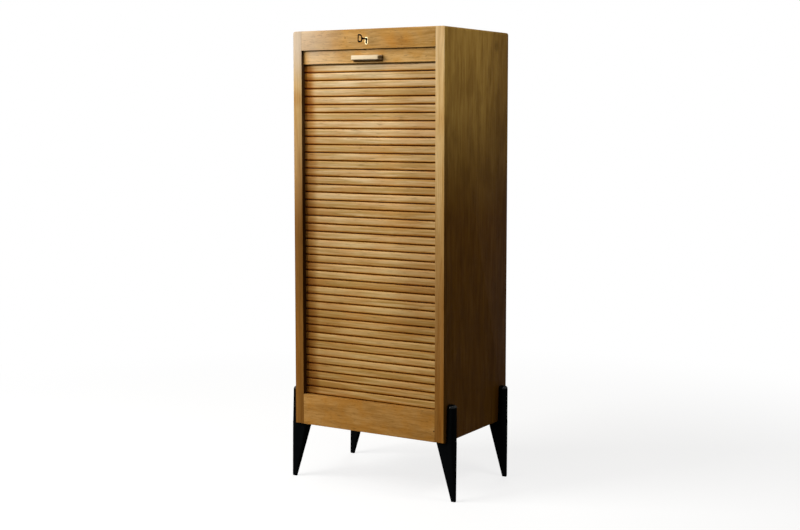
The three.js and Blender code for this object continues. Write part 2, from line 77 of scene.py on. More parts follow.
MM = 0.001
SIDES = ((-1, "left"), (1, "right"))
SLAT_NODES = sorted(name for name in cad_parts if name.startswith("slat_pair_"))
SHELF_NODES = sorted(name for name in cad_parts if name.startswith("shelf_"))
LEG_NODES = sorted(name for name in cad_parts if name.startswith("leg_") and "screw" not in name)
SCREW_NODES = sorted(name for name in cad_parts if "screw" in name)
CASE_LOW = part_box("bottom_rail")[0].z
CASE_TOP = CAD_BOX[1].z
CASE_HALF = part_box("side_panel_right")[1].x
LEAD_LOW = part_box("lead_rail")[0].z
BAR_LOW, BAR_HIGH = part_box("pull_handle")
# The painted shadow of the pull bar on the lead rail: its middle, a little under the bar's, and how far it
# reaches
BAR_SHADOW = (BAR_LOW + BAR_HIGH) / 2 - Vector((0.0, 0.0, 2.0 * MM))
BAR_SHADOW_REACH = (BAR_HIGH - BAR_LOW) / 2 + Vector((5 * MM, 40 * MM, 3 * MM))


def length(name, description, default):
    return FloatProperty(name=name, description=description, default=default, unit="LENGTH", precision=5)


def power(name, description, default):
    return FloatProperty(name=name, description=description, default=default, unit="POWER")


def paint(name, description, code):
    """A colour property whose default is written as a display colour, red, green, blue in hex."""
    return FloatVectorProperty(
        name=name, description=description, subtype="COLOR", size=4, min=0, max=1, default=linear(code)
    )


def linear(code):
    """A display colour such as c09050 as linear values with alpha."""
    shares = [int(code[n:n + 2], 16) / 255 for n in (0, 2, 4)]
    return tuple(s / 12.92 if s <= 0.04045 else ((s + 0.055) / 1.055) ** 2.4 for s in shares) + (1.0,)


# Sizes and colours that a user may change


class CabinetSizes(bpy.types.PropertyGroup):
    """Sizes of the details that the frame doesn't give."""

    steps: IntProperty(name="Steps", description="Facets of a quarter round", default=6, min=2)
    edge_easing: length("Edge easing", "Radius of the eased edges at the joints", 0.5 * MM)
    corner_round: length("Corner round", "Radius of the case's top outer corners", 7.0 * MM)
    outer_round: length("Outer round", "Radius of the case's upright front edges", 2.5 * MM)
    dark_from_left: length("Dark from, left", "Height below which the left stile is dark", 0.70)
    dark_from_right: length("Dark from, right", "Height below which the right stile is dark", 0.22)
    slat_gap: length("Slat gap", "Gap between two slats", 0.6 * MM)
    groove: length("Groove", "Visible gap between the faces of two slats", 1.8 * MM)
    slat_top_round: length("Slat top round", "Radius of a slat's upper front edge", 1.2 * MM)
    slat_low_round: length("Slat low round", "Radius of a slat's lower front edge", 1.8 * MM)
    slat_swell: length("Slat swell", "How far a slat's face swells in the middle", 0.45 * MM)
    slat_wander: length("Slat wander", "How far a slat's edge strays from straight", 0.14 * MM)
    gather_drop: length("Gather drop", "How far under its middle a pair of slats gathers", 2.6 * MM)
    canvas_thickness: length("Canvas", "Thickness of the cloth behind the slats", 0.8 * MM)
    handle_round: length("Pull bar round", "Radius of the pull bar's front corners", 6.0 * MM)
    handle_easing: length("Pull bar easing", "Radius of the pull bar's long edges", 3.0 * MM)
    end_grain_and_shade: length("Pull bar end grain", "How far in from its ends the bar shows end grain", 3.0 * MM)
    cove_radius: length("Finger cove", "Radius of the finger cove under the pull bar", 5.0 * MM)
    cove_end_round: length("Cove end round", "Bevel of the finger cove's ends", 2.0 * MM)
    cove_length: length("Cove length", "Length of the finger cove", 60.0 * MM)
    cove_reach: length("Cove reach", "Distance of the cove from the pull bar's front", 12.0 * MM)
    nail_radius: length("Nail hole", "Radius of the nail hole in the bottom rail", 2.0 * MM)
    nail_depth: length("Nail depth", "Depth of the nail hole", 3.0 * MM)
    nail_inset: length("Nail inset", "Distance of the nail hole from the rail's right end", 2.3 * MM)
    nail_rise: length("Nail rise", "Height of the nail hole over the rail's lower edge", 31.0 * MM)


class CabinetLegSizes(bpy.types.PropertyGroup):
    """Sizes of a leg, measured from the case's side and underside."""

    shoulder_width: length("Shoulder width", "Width under the case", 54 * MM)
    shoulder_depth: length("Shoulder depth", "Depth under the case", 34 * MM)
    reach: length("Reach", "How far the leg stands out of the side", 21 * MM)
    corner_round: length("Corner round", "Radius of the upright corners", 9 * MM)
    upper_height: length("Upper height", "Height of the part on the side", 104 * MM)
    upper_depth: length("Upper depth", "Depth of the upper part at its top", 29 * MM)
    upper_inset: length("Upper inset", "Step between shoulder and upper part", 0.4 * MM)
    crown_height: length("Crown height", "Height of the rounded top", 9 * MM)
    crown_inset: length("Crown inset", "How far the rounded top draws in", 6 * MM)
    tip_reach: length("Tip reach", "How far the tip stands out of the side", 26.5 * MM)
    tip_width: length("Tip width", "Width of the tip", 15.5 * MM)
    tip_depth: length("Tip depth", "Depth of the tip", 9 * MM)
    tip_round: length("Tip round", "Radius of the tip's corners", 4 * MM)
    tip_end_height: length("Tip end", "Height of the rounded end", 4 * MM)
    tip_end_inset: length("Tip end inset", "How far the rounded end draws in", 2.2 * MM)
    lean: length("Lean", "How far the tip stands in front of the shoulder", 4 * MM)
    gap: length("Gap", "Gap between the leg and the case", 0.3 * MM)


class CabinetKeySizes(bpy.types.PropertyGroup):
    """Sizes of the key and the keyhole liner."""

    axis_drop: length("Axis drop", "Distance of the key's axis under the case's top", 28 * MM)
    bow_width: length("Bow width", "Width of the bow along the key", 22 * MM)
    bow_height: length("Bow height", "Height of the bow", 23 * MM)
    bow_corner: length("Bow corner", "Radius of the bow's outer corners, on the wire's middle line", 2.5 * MM)
    bow_squareness: FloatProperty(
        name="Bow squareness", description="1 is a round inner side, less is squarer",
        default=0.55, min=0.2, max=1,
    )
    wire: length("Wire", "Thickness of the bow's wire across", 4.4 * MM)
    bow_thickness: length("Bow thickness", "Thickness of the bow", 2.4 * MM)
    shank_radius: length("Shank", "Radius of the shank", 2.2 * MM)
    shank_easing: length("Shank easing", "Bevel of the shank's ends", 0.3 * MM)
    collar_radius: length("Collar", "Radius of the collar", 3.4 * MM)
    collar_length: length("Collar length", "Length of the collar", 3 * MM)
    collar_easing: length("Collar easing", "Bevel of the collar's ends", 0.8 * MM)
    bit_length: length("Bit length", "Length of the bit along the key", 4.3 * MM)
    bit_thickness: length("Bit thickness", "Thickness of the bit", 2 * MM)
    bit_easing: length("Bit easing", "Radius of the bit's edges", 0.25 * MM)
    hole_radius: length("Keyhole", "Radius of the keyhole's round part", 3 * MM)
    slot_width: length("Keyhole slot", "Width of the keyhole's slot", 4.6 * MM)
    slot_drop: length("Slot drop", "How far the slot reaches under the key's axis", 13.5 * MM)
    liner_rim: length("Liner rim", "Width of the liner round the keyhole", 2.2 * MM)


class CabinetColours(bpy.types.PropertyGroup):
    """Colours of the finishes. A tint is multiplied with the colour under it."""

    # Besides pores and grime, this is the colour that all painted shade darkens towards
    pore_grime_and_shade: paint("Pore", "Colour of the oak's pores and of dirt in the joints", "341f04")
    # Paler wood where it is worn, also painted highlights and painted light on the stiles, the lead rail and
    # the slats
    rubbed_and_lit: paint("Rubbed", "How much paler the wood is where it is rubbed", "8f8468")
    # Painted sheen: paler wood at the top left corner and up the stiles
    painted_sheen: paint("Bleached", "Paler wood at the top left corner", "dccbb4")
    stile_light: paint("Stile light", "Pale figure of the stiles", "d9b87f")
    stile_deep: paint("Stile deep", "Deep figure of the stiles", "b99050")
    stile_low: paint("Stile low", "Tint that the stiles take on towards the floor", "a88a5b")
    stile_stain: paint("Stile stain", "Tint of the stains on the stiles", "e6d2aa")
    corner_shade: paint("Corner shade", "Tint of the left stile's top", "f0f2ff")
    rail_light: paint("Rail light", "Pale figure of the rails", "d2a664")
    rail_deep: paint("Rail deep", "Deep figure of the rails", "a67a3b")
    rail_low: paint("Rail low", "Tint that the rails take on towards the floor", "e7dac6")
    rail_gold: paint("Rail gold", "Golden patches of the rails", "c58a30")
    slat_light: paint("Slat light", "Pale figure of the slats", "e3c89c")
    slat_deep: paint("Slat deep", "Deep figure of the slats", "bc9a60")
    slat_low: paint("Slat low", "Tint that the slats take on towards the floor", "e4d6b6")
    slat_blotch: paint("Slat blotch", "Reddish blotches of the slats", "cb965c")
    slat_shade: paint("Slat shade", "Tint of the slats' left half, right ends and top", "d8cdbc")
    # Also the painted shade over the lower part of each slat
    golden_stain_and_shade: paint("Slat stain", "Golden tint by the slats' grooves and on the upper rails", "fbe2a6")
    slat_end: paint("Slat end", "Tint of the slats' left ends", "e4c99e")
    end_stain: paint("End stain", "Tint of the left ends of the upper slats", "e2c998")
    end_shade: paint("End shade", "Tint of the lower slats beside their left ends", "c4bc9c")
    # Painted shade along both edges of each slat's groove
    groove: paint("Groove", "Tint of the slats along their edges", "c69c46")
    side_light: paint("Side light", "Pale figure of the side veneer", "af8a43")
    side_deep: paint("Side deep", "Deep figure of the side veneer", "8a6529")
    side_low: paint("Side low", "Tint that the side takes on towards the floor", "9c8449")
    side_patch: paint("Side patch", "Tint of the side's darker patches", "a08c68")
    plain_light: paint("Plain light", "Pale figure of the wood inside", "cba877")
    plain_deep: paint("Plain deep", "Deep figure of the wood inside", "a57f4f")
    plain_low: paint("Plain low", "Tint that the wood inside takes on towards the floor", "d2b48c")
    handle_light: paint("Pull bar light", "Pale figure of the pull bar", "f0dcb8")
    handle_deep: paint("Pull bar deep", "Deep figure of the pull bar", "dcbd8b")
    # Dark end faces of the pull bar: end grain and painted shade
    end_grain_and_shade: paint("Pull bar end", "End grain of the pull bar", "4c3c12")
    canvas: paint("Canvas", "Cloth behind the slats", "a99d84")
    canvas_soil: paint("Canvas soil", "Soiled cloth and the gaps of its weave", "6f6450")
    lacquer: paint("Lacquer", "Black lacquer of the legs", "090b0c")
    dust: paint("Dust", "Dust on the lacquer", "111315")
    brass: paint("Brass", "Keyhole liner and lock screws", "f0dca8")
    brass_stain: paint("Brass stain", "Tarnish on the brass", "a98a50")
    key_metal: paint("Key metal", "Dark metal of the key and the link plate", "0c0805")
    key_worn: paint("Key worn", "Key metal where hands have rubbed it", "20160c")
    steel: paint("Steel", "Lock case, bolt and screws", "b4b3b0")
    steel_stain: paint("Steel stain", "Spots on the steel", "6c6862")
    floor: paint("Floor", "The floor under the cabinet", "9e9d9b")
    floor_speck: paint("Floor speck", "Specks of the floor", "908e8b")
    floor_grey: paint("Floor grey", "Floor that the light is thrown back from", "8c8a86")


class CabinetStage(bpy.types.PropertyGroup):
    """Camera, floor and light."""

    camera_place: FloatVectorProperty(
        name="Camera place", description="Where the camera stands", subtype="TRANSLATION",
        default=(2.0260, -3.3184, 1.0602),
    )
    camera_turn: FloatProperty(
        name="Camera turn", description="Turn about the upright axis", subtype="ANGLE",
        default=math.radians(31.299),
    )
    camera_dip: FloatProperty(
        name="Camera dip", description="How far the camera looks down", subtype="ANGLE",
        default=math.radians(5.273),
    )
    lens: FloatProperty(name="Lens", description="Focal length in millimetres", default=60.26, unit="CAMERA")
    shift: FloatProperty(name="Shift", description="Vertical shift of the lens", default=-0.03)
    floor_radius: length("Floor radius", "Radius of the floor", 9.0)
    fade_start: length("Fade start", "Where the floor starts to fade to white", 0.9)
    fade_end: length("Fade end", "Where the floor is white", 2.4)
    floor_glow: FloatProperty(
        name="Floor glow", description="How far the floor is lifted towards white", default=0.76,
    )
    key_power: power("Key light", "Power of the main lamp", 112.0)
    top_power: power("Top light", "Power of the lamp over the front", 12.0)
    side_power: power("Side light", "Power of the lamp on the right", 6.5)
    back_power: power("Back light", "Power of the lamp behind", 16.0)
    world_level: FloatProperty(name="World level", description="Brightness of the surroundings", default=0.08)


# Shader nodes

# Each layer of the oak's figure: how often it repeats in a metre along and across the grain, the detail,
# roughness and distortion of its noise, and the noise's values where the mask starts and where it is full
FIGURE = {
    "Streaks": (7.0, 220.0, 4.0, 0.6, 0.0, 0.36, 0.64),
    "Bands": (3.0, 55.0, 3.0, 0.5, 0.4, 0.34, 0.66),
    "Pores": (46.0, 1500.0, 2.0, 0.55, 0.0, 0.60, 0.72),
    "Flecks": (24.0, 300.0, 3.0, 0.6, 0.0, 0.56, 0.72),
    "Blotches": (8.0, 26.0, 3.0, 0.55, 0.0, 0.40, 0.66),
}
# How far the figure moves from one plank to the next, and how far it sways across the grain, in metres
PLANK_STEP = (17.31, 9.77, 5.13)
SWAY = 0.010


def place(tree, kind, settings=None, **inputs):
    """Adds a node, sets its options, and sets or links its inputs; an underscore stands for a space."""
    node = tree.nodes.new(kind)
    for key, value in (settings or {}).items():
        setattr(node, key, value)
    for key, value in inputs.items():
        feed(tree, value, node.inputs[key.replace("_", " ")])
    return node


def feed(tree, value, socket):
    """Links a socket, or sets a value."""
    if isinstance(value, bpy.types.NodeSocket):
        tree.links.new(value, socket)
    else:
        socket.default_value = value


def calc(tree, operation, *values, clamp=False):
    node = place(tree, "ShaderNodeMath", {"operation": operation, "use_clamp": clamp})
    for socket, value in zip(node.inputs, values):
        feed(tree, value, socket)
    return node.outputs[0]


def vector_calc(tree, operation, *values):
    node = place(tree, "ShaderNodeVectorMath", {"operation": operation})
    for socket, value in zip(node.inputs, values):
        feed(tree, value, socket)
    return node.outputs[0]


def span(tree, vector):
    """A vector's length."""
    return place(tree, "ShaderNodeVectorMath", {"operation": "LENGTH"}, Vector=vector).outputs["Value"]


def blend(tree, factor, first, second, mode="MIX"):
    """Mixes two colours."""
    node = place(tree, "ShaderNodeMix", {"data_type": "RGBA", "blend_type": mode, "clamp_factor": True})
    for index, value in ((0, factor), (6, first), (7, second)):
        feed(tree, value, node.inputs[index])
    return node.outputs[2]


def noise(tree, vector, scale, detail=3.0, roughness=0.55, distortion=0.0):
    node = place(
        tree, "ShaderNodeTexNoise",
        Vector=vector, Scale=scale, Detail=detail, Roughness=roughness, Distortion=distortion,
    )
    return node.outputs["Fac"]


def between(tree, value, low, high, start=0.0, end=1.0):
    """Turns a value from low to high smoothly into one from start to end."""
    node = place(tree, "ShaderNodeMapRange", {"interpolation_type": "SMOOTHSTEP"})
    for socket, number in zip(node.inputs, (value, low, high, start, end)):
        feed(tree, number, socket)
    return node.outputs[0]


def stretched(tree, vector, along, across):
    """Scales the grain's own axes: along the grain, and across the face and into the wood."""
    return vector_calc(tree, "MULTIPLY", vector, (along, across, across))


def new_group(name, inputs, outputs):
    """A shader group with its named sockets. Inputs are (name, kind, default), outputs names of numbers."""
    group = bpy.data.node_groups.new(name, "ShaderNodeTree")
    for label, kind, value in inputs:
        socket = group.interface.new_socket(name=label, in_out="INPUT", socket_type="NodeSocket" + kind)
        socket.default_value = value
    for label in outputs:
        group.interface.new_socket(name=label, in_out="OUTPUT", socket_type="NodeSocketFloat")
    start = group.nodes.new("NodeGroupInput")
    end = group.nodes.new("NodeGroupOutput")
    return group, start.outputs, end.inputs


def wood_figure_group():
    """Streaks, bands, pores, flecks and blotches of straight-grained oak, as masks from 0 to 1."""
    inputs = [("Point", "Vector", (0, 0, 0)), ("Plank", "Float", 0.0)]
    group, given, made = new_group("wood figure", inputs, FIGURE)
    own = vector_calc(group, "SCALE", PLANK_STEP)
    feed(group, given["Plank"], own.node.inputs["Scale"])
    point = vector_calc(group, "ADD", given["Point"], own)
    waves = noise(group, stretched(group, point, 3.5, 6.0), scale=1.0, detail=2.0)
    sway = calc(group, "MULTIPLY", calc(group, "SUBTRACT", waves, 0.5), SWAY)
    offset = place(group, "ShaderNodeCombineXYZ", Y=sway)
    grain = vector_calc(group, "ADD", point, offset.outputs[0])
    for layer, (along, across, detail, roughness, distortion, low, high) in FIGURE.items():
        source = stretched(group, point if layer == "Blotches" else grain, along, across)
        pattern = noise(group, source, 1.0, detail, roughness, distortion)
        feed(group, between(group, pattern, low, high), made[layer])
    return group


def tone_group():
    """A mask that grows from 0 to 1 between two places along an axis, a little uneven."""
    inputs = [
        ("Place", "Float", 0.0), ("Point", "Vector", (0, 0, 0)),
        ("Start", "Float", 0.0), ("End", "Float", 1.0), ("Uneven", "Float", 0.12),
    ]
    group, given, made = new_group("tone", inputs, ["Tone"])
    waves = calc(group, "SUBTRACT", noise(group, given["Point"], scale=5.0), 0.5)
    uneven = calc(group, "MULTIPLY_ADD", waves, given["Uneven"], given["Place"])
    feed(group, between(group, uneven, given["Start"], given["End"]), made["Tone"])
    return group


def tarnish_group():
    """Stains and fine scratches on metal, as masks from 0 to 1."""
    inputs = [("Point", "Vector", (0, 0, 0)), ("Amount", "Float", 0.5)]
    group, given, made = new_group("tarnish", inputs, ["Stain", "Scratches"])
    spots = noise(group, given["Point"], scale=260.0, detail=5.0, roughness=0.65)
    low = calc(group, "MULTIPLY_ADD", given["Amount"], -0.25, 0.66)
    feed(group, between(group, spots, low, calc(group, "ADD", low, 0.2)), made["Stain"])
    fine = stretched(group, given["Point"], 300.0, 2600.0)
    lines = noise(group, fine, scale=1.0, detail=2.0, roughness=0.5, distortion=0.6)
    feed(group, between(group, lines, 0.52, 0.75), made["Scratches"])
    return group


# Which of the object's axes run along the grain, across the face and into the wood
GRAIN_AXES = {
    "upright": ("Z", "X", "Y"),
    "upright_side": ("Z", "Y", "X"),
    "level": ("X", "Z", "Y"),
    "flat": ("X", "Y", "Z"),
}
GROUPS = {}


def shared(name, make):
    """The shared group of that name, made once."""
    if name not in GROUPS:
        GROUPS[name] = make()
    return GROUPS[name]


def use_group(tree, group, **inputs):
    node = place(tree, "ShaderNodeGroup", {"node_tree": group})
    for key, value in inputs.items():
        feed(tree, value, node.inputs[key])
    return node.outputs


def new_material(name):
    """An empty material with its surface shader and the point in the object's own space."""
    material = bpy.data.materials.new(name)
    material.use_nodes = True
    tree = material.node_tree
    surface = tree.nodes["Principled BSDF"]
    point = place(tree, "ShaderNodeTexCoord").outputs["Object"]
    return material, tree, surface, point


def split(tree, point):
    return place(tree, "ShaderNodeSeparateXYZ", Vector=point).outputs


def attribute(tree, name):
    """A value that the mesh carries under that name."""
    return place(tree, "ShaderNodeAttribute", {"attribute_name": name}).outputs["Fac"]


def bump(tree, surface, height, depth, strength):
    node = place(tree, "ShaderNodeBump", Strength=strength, Distance=depth, Height=height)
    feed(tree, node.outputs[0], surface.inputs["Normal"])


# Wood

# Each change of tone: its axis, where it starts, where it ends unless the mesh says, and how uneven it is
TONES = {
    "sheen_across": ("X", -0.05, -0.23, 0.10),
    "sheen_up": ("Z", 1.14, 1.27, 0.0),
    "left_stile": ("X", 0.1, -0.1, 0.0),
    "right_stile": ("X", -0.1, 0.1, 0.0),
    "stile_down": ("Z", CASE_TOP - 0.06, None, 0.10),
    "stile_up": ("Z", 1.06, 1.28, 0.0),
    "stile_top": ("Z", 1.12, 1.20, 0.0),
    "rail_down": ("Z", CASE_TOP - 0.1, CASE_LOW + 0.1, 0.12),
    "rail_left_end": ("X", -0.185, -0.215, 0.05),
    "lead_lip": ("Z", LEAD_LOW + 0.009, LEAD_LOW + 0.002, 0.0),
    "over_lead_edge": ("Z", LEAD_LOW - 0.002, LEAD_LOW, 0.0),
    "slat_down": ("Z", CASE_TOP, CASE_LOW + 0.25, 0.12),
    "slat_left": ("X", -0.04, -0.17, 0.1),
    "slat_right": ("X", 0.04, 0.16, 0.1),
    "slat_right_half": ("X", 0.00, 0.08, 0.1),
    "slat_end": ("X", -0.170, -0.205, 0.05),
    "slat_beside_end": ("X", -0.172, -0.192, 0.03),
    "slat_stained_end": ("X", -0.180, -0.200, 0.06),
    "slat_tip": ("X", -0.202, -0.214, 0.0),
    "lighter_grooves": ("X", 0.20, 0.08, 0.05),
    "over_lowest": ("Z", 0.38, 0.52, 0.1),
    "over_middle": ("Z", 0.60, 0.80, 0.1),
    "under_middle": ("Z", 0.96, 0.82, 0.1),
    "under_top": ("Z", 1.10, 0.85, 0.1),
    "upper_grooves": ("Z", 0.85, 1.05, 0.1),
    "upper_ends": ("Z", 1.04, 1.08, 0.1),
    "upper_slats": ("Z", 1.0, 1.13, 0.1),
    "under_lead": ("Z", LEAD_LOW - 0.006, LEAD_LOW - 0.001, 0.0),
    "side_down": ("Z", 1.20, 0.72, 0.16),
    "side_rear": ("Y", 0.05, 0.19, 0.1),
    "plain_down": ("Z", CASE_TOP, CASE_LOW, 0.2),
}
# Each spot: its middle, and how far it reaches along X, Y and Z
SPOTS = {
    "left_stile_dirt": ((-0.235, -0.16, 0.66), (0.05, 0.1, 0.26)),
    "left_stile_stain": ((-0.236, -0.16, 1.115), (0.03, 0.1, 0.035)),
    "right_stile_stain": ((0.236, -0.16, 1.048), (0.03, 0.1, 0.060)),
    "right_stile_lower_stain": ((0.236, -0.16, 0.905), (0.02, 0.1, 0.050)),
    "top_rail_gold": ((0.10, -0.16, 1.266), (0.09, 0.1, 0.030)),
    "top_rail_dot": ((-0.071, -0.1655, 1.2815), (0.0035, 0.1, 0.0035)),
    "side_smudge": ((0.25, 0.135, 1.262), (0.02, 0.018, 0.024)),
}
STILE_STAINS = {"left_stile_stain": 0.70, "right_stile_stain": 0.45, "right_stile_lower_stain": 0.25}
# Each band of a slat's face: the heights where it starts and is full, 0 at the lower edge and 1 at the top
RISES = {
    # The stained band is painted shade over the lower part of each slat
    "stained": (0.36, 0.12),
    "lower_lip": (0.20, 0.07),
    "upper_lip": (0.95, 0.99),
    "rubbed_and_lit": (0.70, 0.90),
    "groove_grime_and_shade": (0.14, 0.04),
}
# How far in from the case's sides the painted light on the stiles' outer edges starts, and where it is
# strongest
EDGE_LIGHT_INSETS = (0.022, 0.004)
DARKEST = 0.94
WOOD_ROUGHNESS = {"start": 0.78, "end": 0.62}
GRAIN_DEPTH = 0.10 * MM


class Oak:
    """A varnished oak in the making: its nodes, its colour so far, and the masks that later steps use."""

    def __init__(self, name, direction, colours, kind, contrast, fleck, shortness=1.0):
        """The attributes plank and shade, on the mesh, give each board its own figure and tone."""
        self.material, self.tree, self.surface, self.point = new_material(name)
        self.colours = colours
        tree = self.tree
        self.split = split(tree, self.point)
        axes = {key: self.split[axis] for key, axis in zip("XYZ", GRAIN_AXES[direction])}
        grain = place(tree, "ShaderNodeCombineXYZ", **axes).outputs[0]
        grain = vector_calc(tree, "MULTIPLY", grain, (shortness, 1, 1))
        plank = attribute(tree, "plank")
        self.figure = use_group(tree, shared("figure", wood_figure_group), Point=grain, Plank=plank)
        mixed = calc(tree, "ADD", self.figure["Streaks"], self.figure["Bands"])
        mixed = calc(tree, "MULTIPLY_ADD", calc(tree, "SUBTRACT", mixed, 1.0), contrast * 0.6, 0.5)
        mixed = calc(tree, "ADD", mixed, attribute(tree, "shade"), clamp=True)
        deep, light = getattr(colours, kind + "_deep"), getattr(colours, kind + "_light")
        self.colour = blend(tree, mixed, deep, light)
        # Dark marks: pores, flecks, and the grime and painted shade that the mesh carries
        dark = calc(tree, "MULTIPLY_ADD", self.figure["Pores"], 0.22, attribute(tree, "dirt"))
        self.dark = calc(tree, "MULTIPLY_ADD", self.figure["Flecks"], fleck, dark)

    def times(self, *masks):
        product = masks[0]
        for mask in masks[1:]:
            product = calc(self.tree, "MULTIPLY", product, mask)
        return product

    def tint(self, mask, colour, amount=1.0, mode="MULTIPLY"):
        """Blends in one of the user's colours where the mask is, by that amount."""
        factor = mask if amount == 1.0 else self.times(mask, amount)
        self.colour = blend(self.tree, factor, self.colour, getattr(self.colours, colour), mode)

    # Darkens towards the colour of pores, for grime and for painted shade
    def darken(self, mask, amount=1.0):
        self.dark = calc(self.tree, "MULTIPLY_ADD", mask, amount, self.dark)

    def tone(self, name, end=None):
        """The mask of a change of tone, which may end at a place that the mesh gives."""
        axis, start, usual_end, uneven = TONES[name]
        return use_group(
            self.tree, shared("tone", tone_group), Place=self.split[axis], Point=self.point,
            Start=start, End=usual_end if end is None else end, Uneven=uneven,
        )["Tone"]

    def tones(self, *names):
        return self.times(*[self.tone(name) for name in names])

    def rise(self, name):
        return between(self.tree, attribute(self.tree, "rise"), *RISES[name])

    def away(self, middle, reach):
        """How far off a place is along each axis, as shares of the reach."""
        offset = vector_calc(self.tree, "SUBTRACT", self.point, middle)
        return vector_calc(self.tree, "DIVIDE", offset, reach)

    def spot(self, name):
        """A mask that is 1 at a spot's middle and fades to 0 at its reach."""
        distance = span(self.tree, self.away(*SPOTS[name]))
        return between(self.tree, distance, 1.0, 0.2)

    def box_mask(self, middle, reach):
        """A mask that is 1 in an upright box seen from the front, and fades out at its edge."""
        shares = split(self.tree, vector_calc(self.tree, "ABSOLUTE", self.away(middle, reach)))
        return between(self.tree, calc(self.tree, "MAXIMUM", shares["X"], shares["Z"]), 1.0, 0.90)

    def paint_sheen(self):
        """Paints a sheen that pales the wood near the case's top left corner."""
        self.tint(self.tones("sheen_across", "sheen_up"), "painted_sheen", 0.50, "MIX")

    def done(self, shine, coat):
        """Feeds the shader: colour with its dark marks of pores, grime and painted shade, a varnish that
        these marks dull, and the grain's relief.
        """
        tree, figure, surface = self.tree, self.figure, self.surface
        dark = calc(tree, "MINIMUM", self.dark, DARKEST)
        feed(tree, blend(tree, dark, self.colour, self.colours.pore_grime_and_shade), surface.inputs["Base Color"])
        feed(tree, between(tree, figure["Streaks"], 0, 1, **WOOD_ROUGHNESS), surface.inputs["Roughness"])
        surface.inputs["Specular IOR Level"].default_value = 0.02
        surface.inputs["Coat Roughness"].default_value = shine
        feed(tree, between(tree, self.dark, 0.75, 0.25, end=coat), surface.inputs["Coat Weight"])
        streaks = calc(tree, "MULTIPLY", figure["Streaks"], 0.5)
        relief = calc(tree, "MULTIPLY_ADD", figure["Pores"], -0.8, streaks)
        bump(tree, surface, relief, depth=GRAIN_DEPTH, strength=0.8)
        return self.material


def stile_oak(colours):
    """The stiles: pale at the top under a painted sheen, much darker below the height that their own
    attribute gives, with painted light along their outer edges and over the right stile.
    """
    wood = Oak("oak_stile", "upright", colours, "stile", contrast=0.8, fleck=0.22)
    tree = wood.tree
    low = wood.tone("stile_down", end=attribute(tree, "dark_from"))
    wood.tint(low, "stile_low")
    right = wood.tone("right_stile")
    # Painted light, with some wear, along the stiles' outer edges, stronger lower down and on the right stile
    edge_light = calc(tree, "MULTIPLY_ADD", low, 0.45, calc(tree, "MULTIPLY_ADD", right, 0.18, 0.10))
    across = calc(tree, "ABSOLUTE", wood.split["X"])
    outward = between(tree, across, *[CASE_HALF - inset for inset in EDGE_LIGHT_INSETS])
    wood.tint(wood.times(outward, edge_light), "rubbed_and_lit", mode="DODGE")
    # Painted light over the whole right stile
    wood.tint(right, "rubbed_and_lit", 0.20, "DODGE")
    for name, amount in STILE_STAINS.items():
        wood.tint(wood.spot(name), "stile_stain", amount)
    # Painted sheen, paler towards the stiles' top
    wood.tint(wood.tone("stile_up"), "painted_sheen", 0.12, "MIX")
    wood.darken(wood.spot("left_stile_dirt"), 0.28)
    wood.paint_sheen()
    # Cools the painted sheen at the left stile's top
    wood.tint(wood.tones("left_stile", "stile_top"), "corner_shade", 0.6)
    return wood.done(shine=0.36, coat=0.10)


def rail_oak(colours):
    """The rails: golden, with a painted sheen near the top left corner. The lead rail alone has a painted
    highlight along its lower edge, a painted shadow round the pull bar and a stain at its left end.
    """
    wood = Oak("oak_rail", "level", colours, "rail", contrast=0.72, fleck=0.34, shortness=2.6)
    wood.tint(wood.figure["Blotches"], "rail_gold", 0.45, "MIX")
    wood.paint_sheen()
    # Painted highlight along the lead rail's lower edge
    wood.tint(wood.tones("lead_lip", "over_lead_edge"), "rubbed_and_lit", 0.6, "DODGE")
    wood.tint(wood.tone("rail_down"), "rail_low")
    # The lead rail's flag, which keeps the painted shadow round the pull bar and the stain at its left end on
    # the lead rail
    soiled = attribute(wood.tree, "soiled")
    # Painted shadow of the pull bar on the lead rail round it
    wood.darken(wood.times(wood.box_mask(BAR_SHADOW, BAR_SHADOW_REACH), soiled), 0.9)
    wood.tint(wood.times(wood.tone("rail_left_end"), soiled), "golden_stain_and_shade")
    wood.tint(wood.spot("top_rail_gold"), "golden_stain_and_shade", 0.6)
    wood.darken(wood.spot("top_rail_dot"), 0.6)
    return wood.done(shine=0.36, coat=0.10)


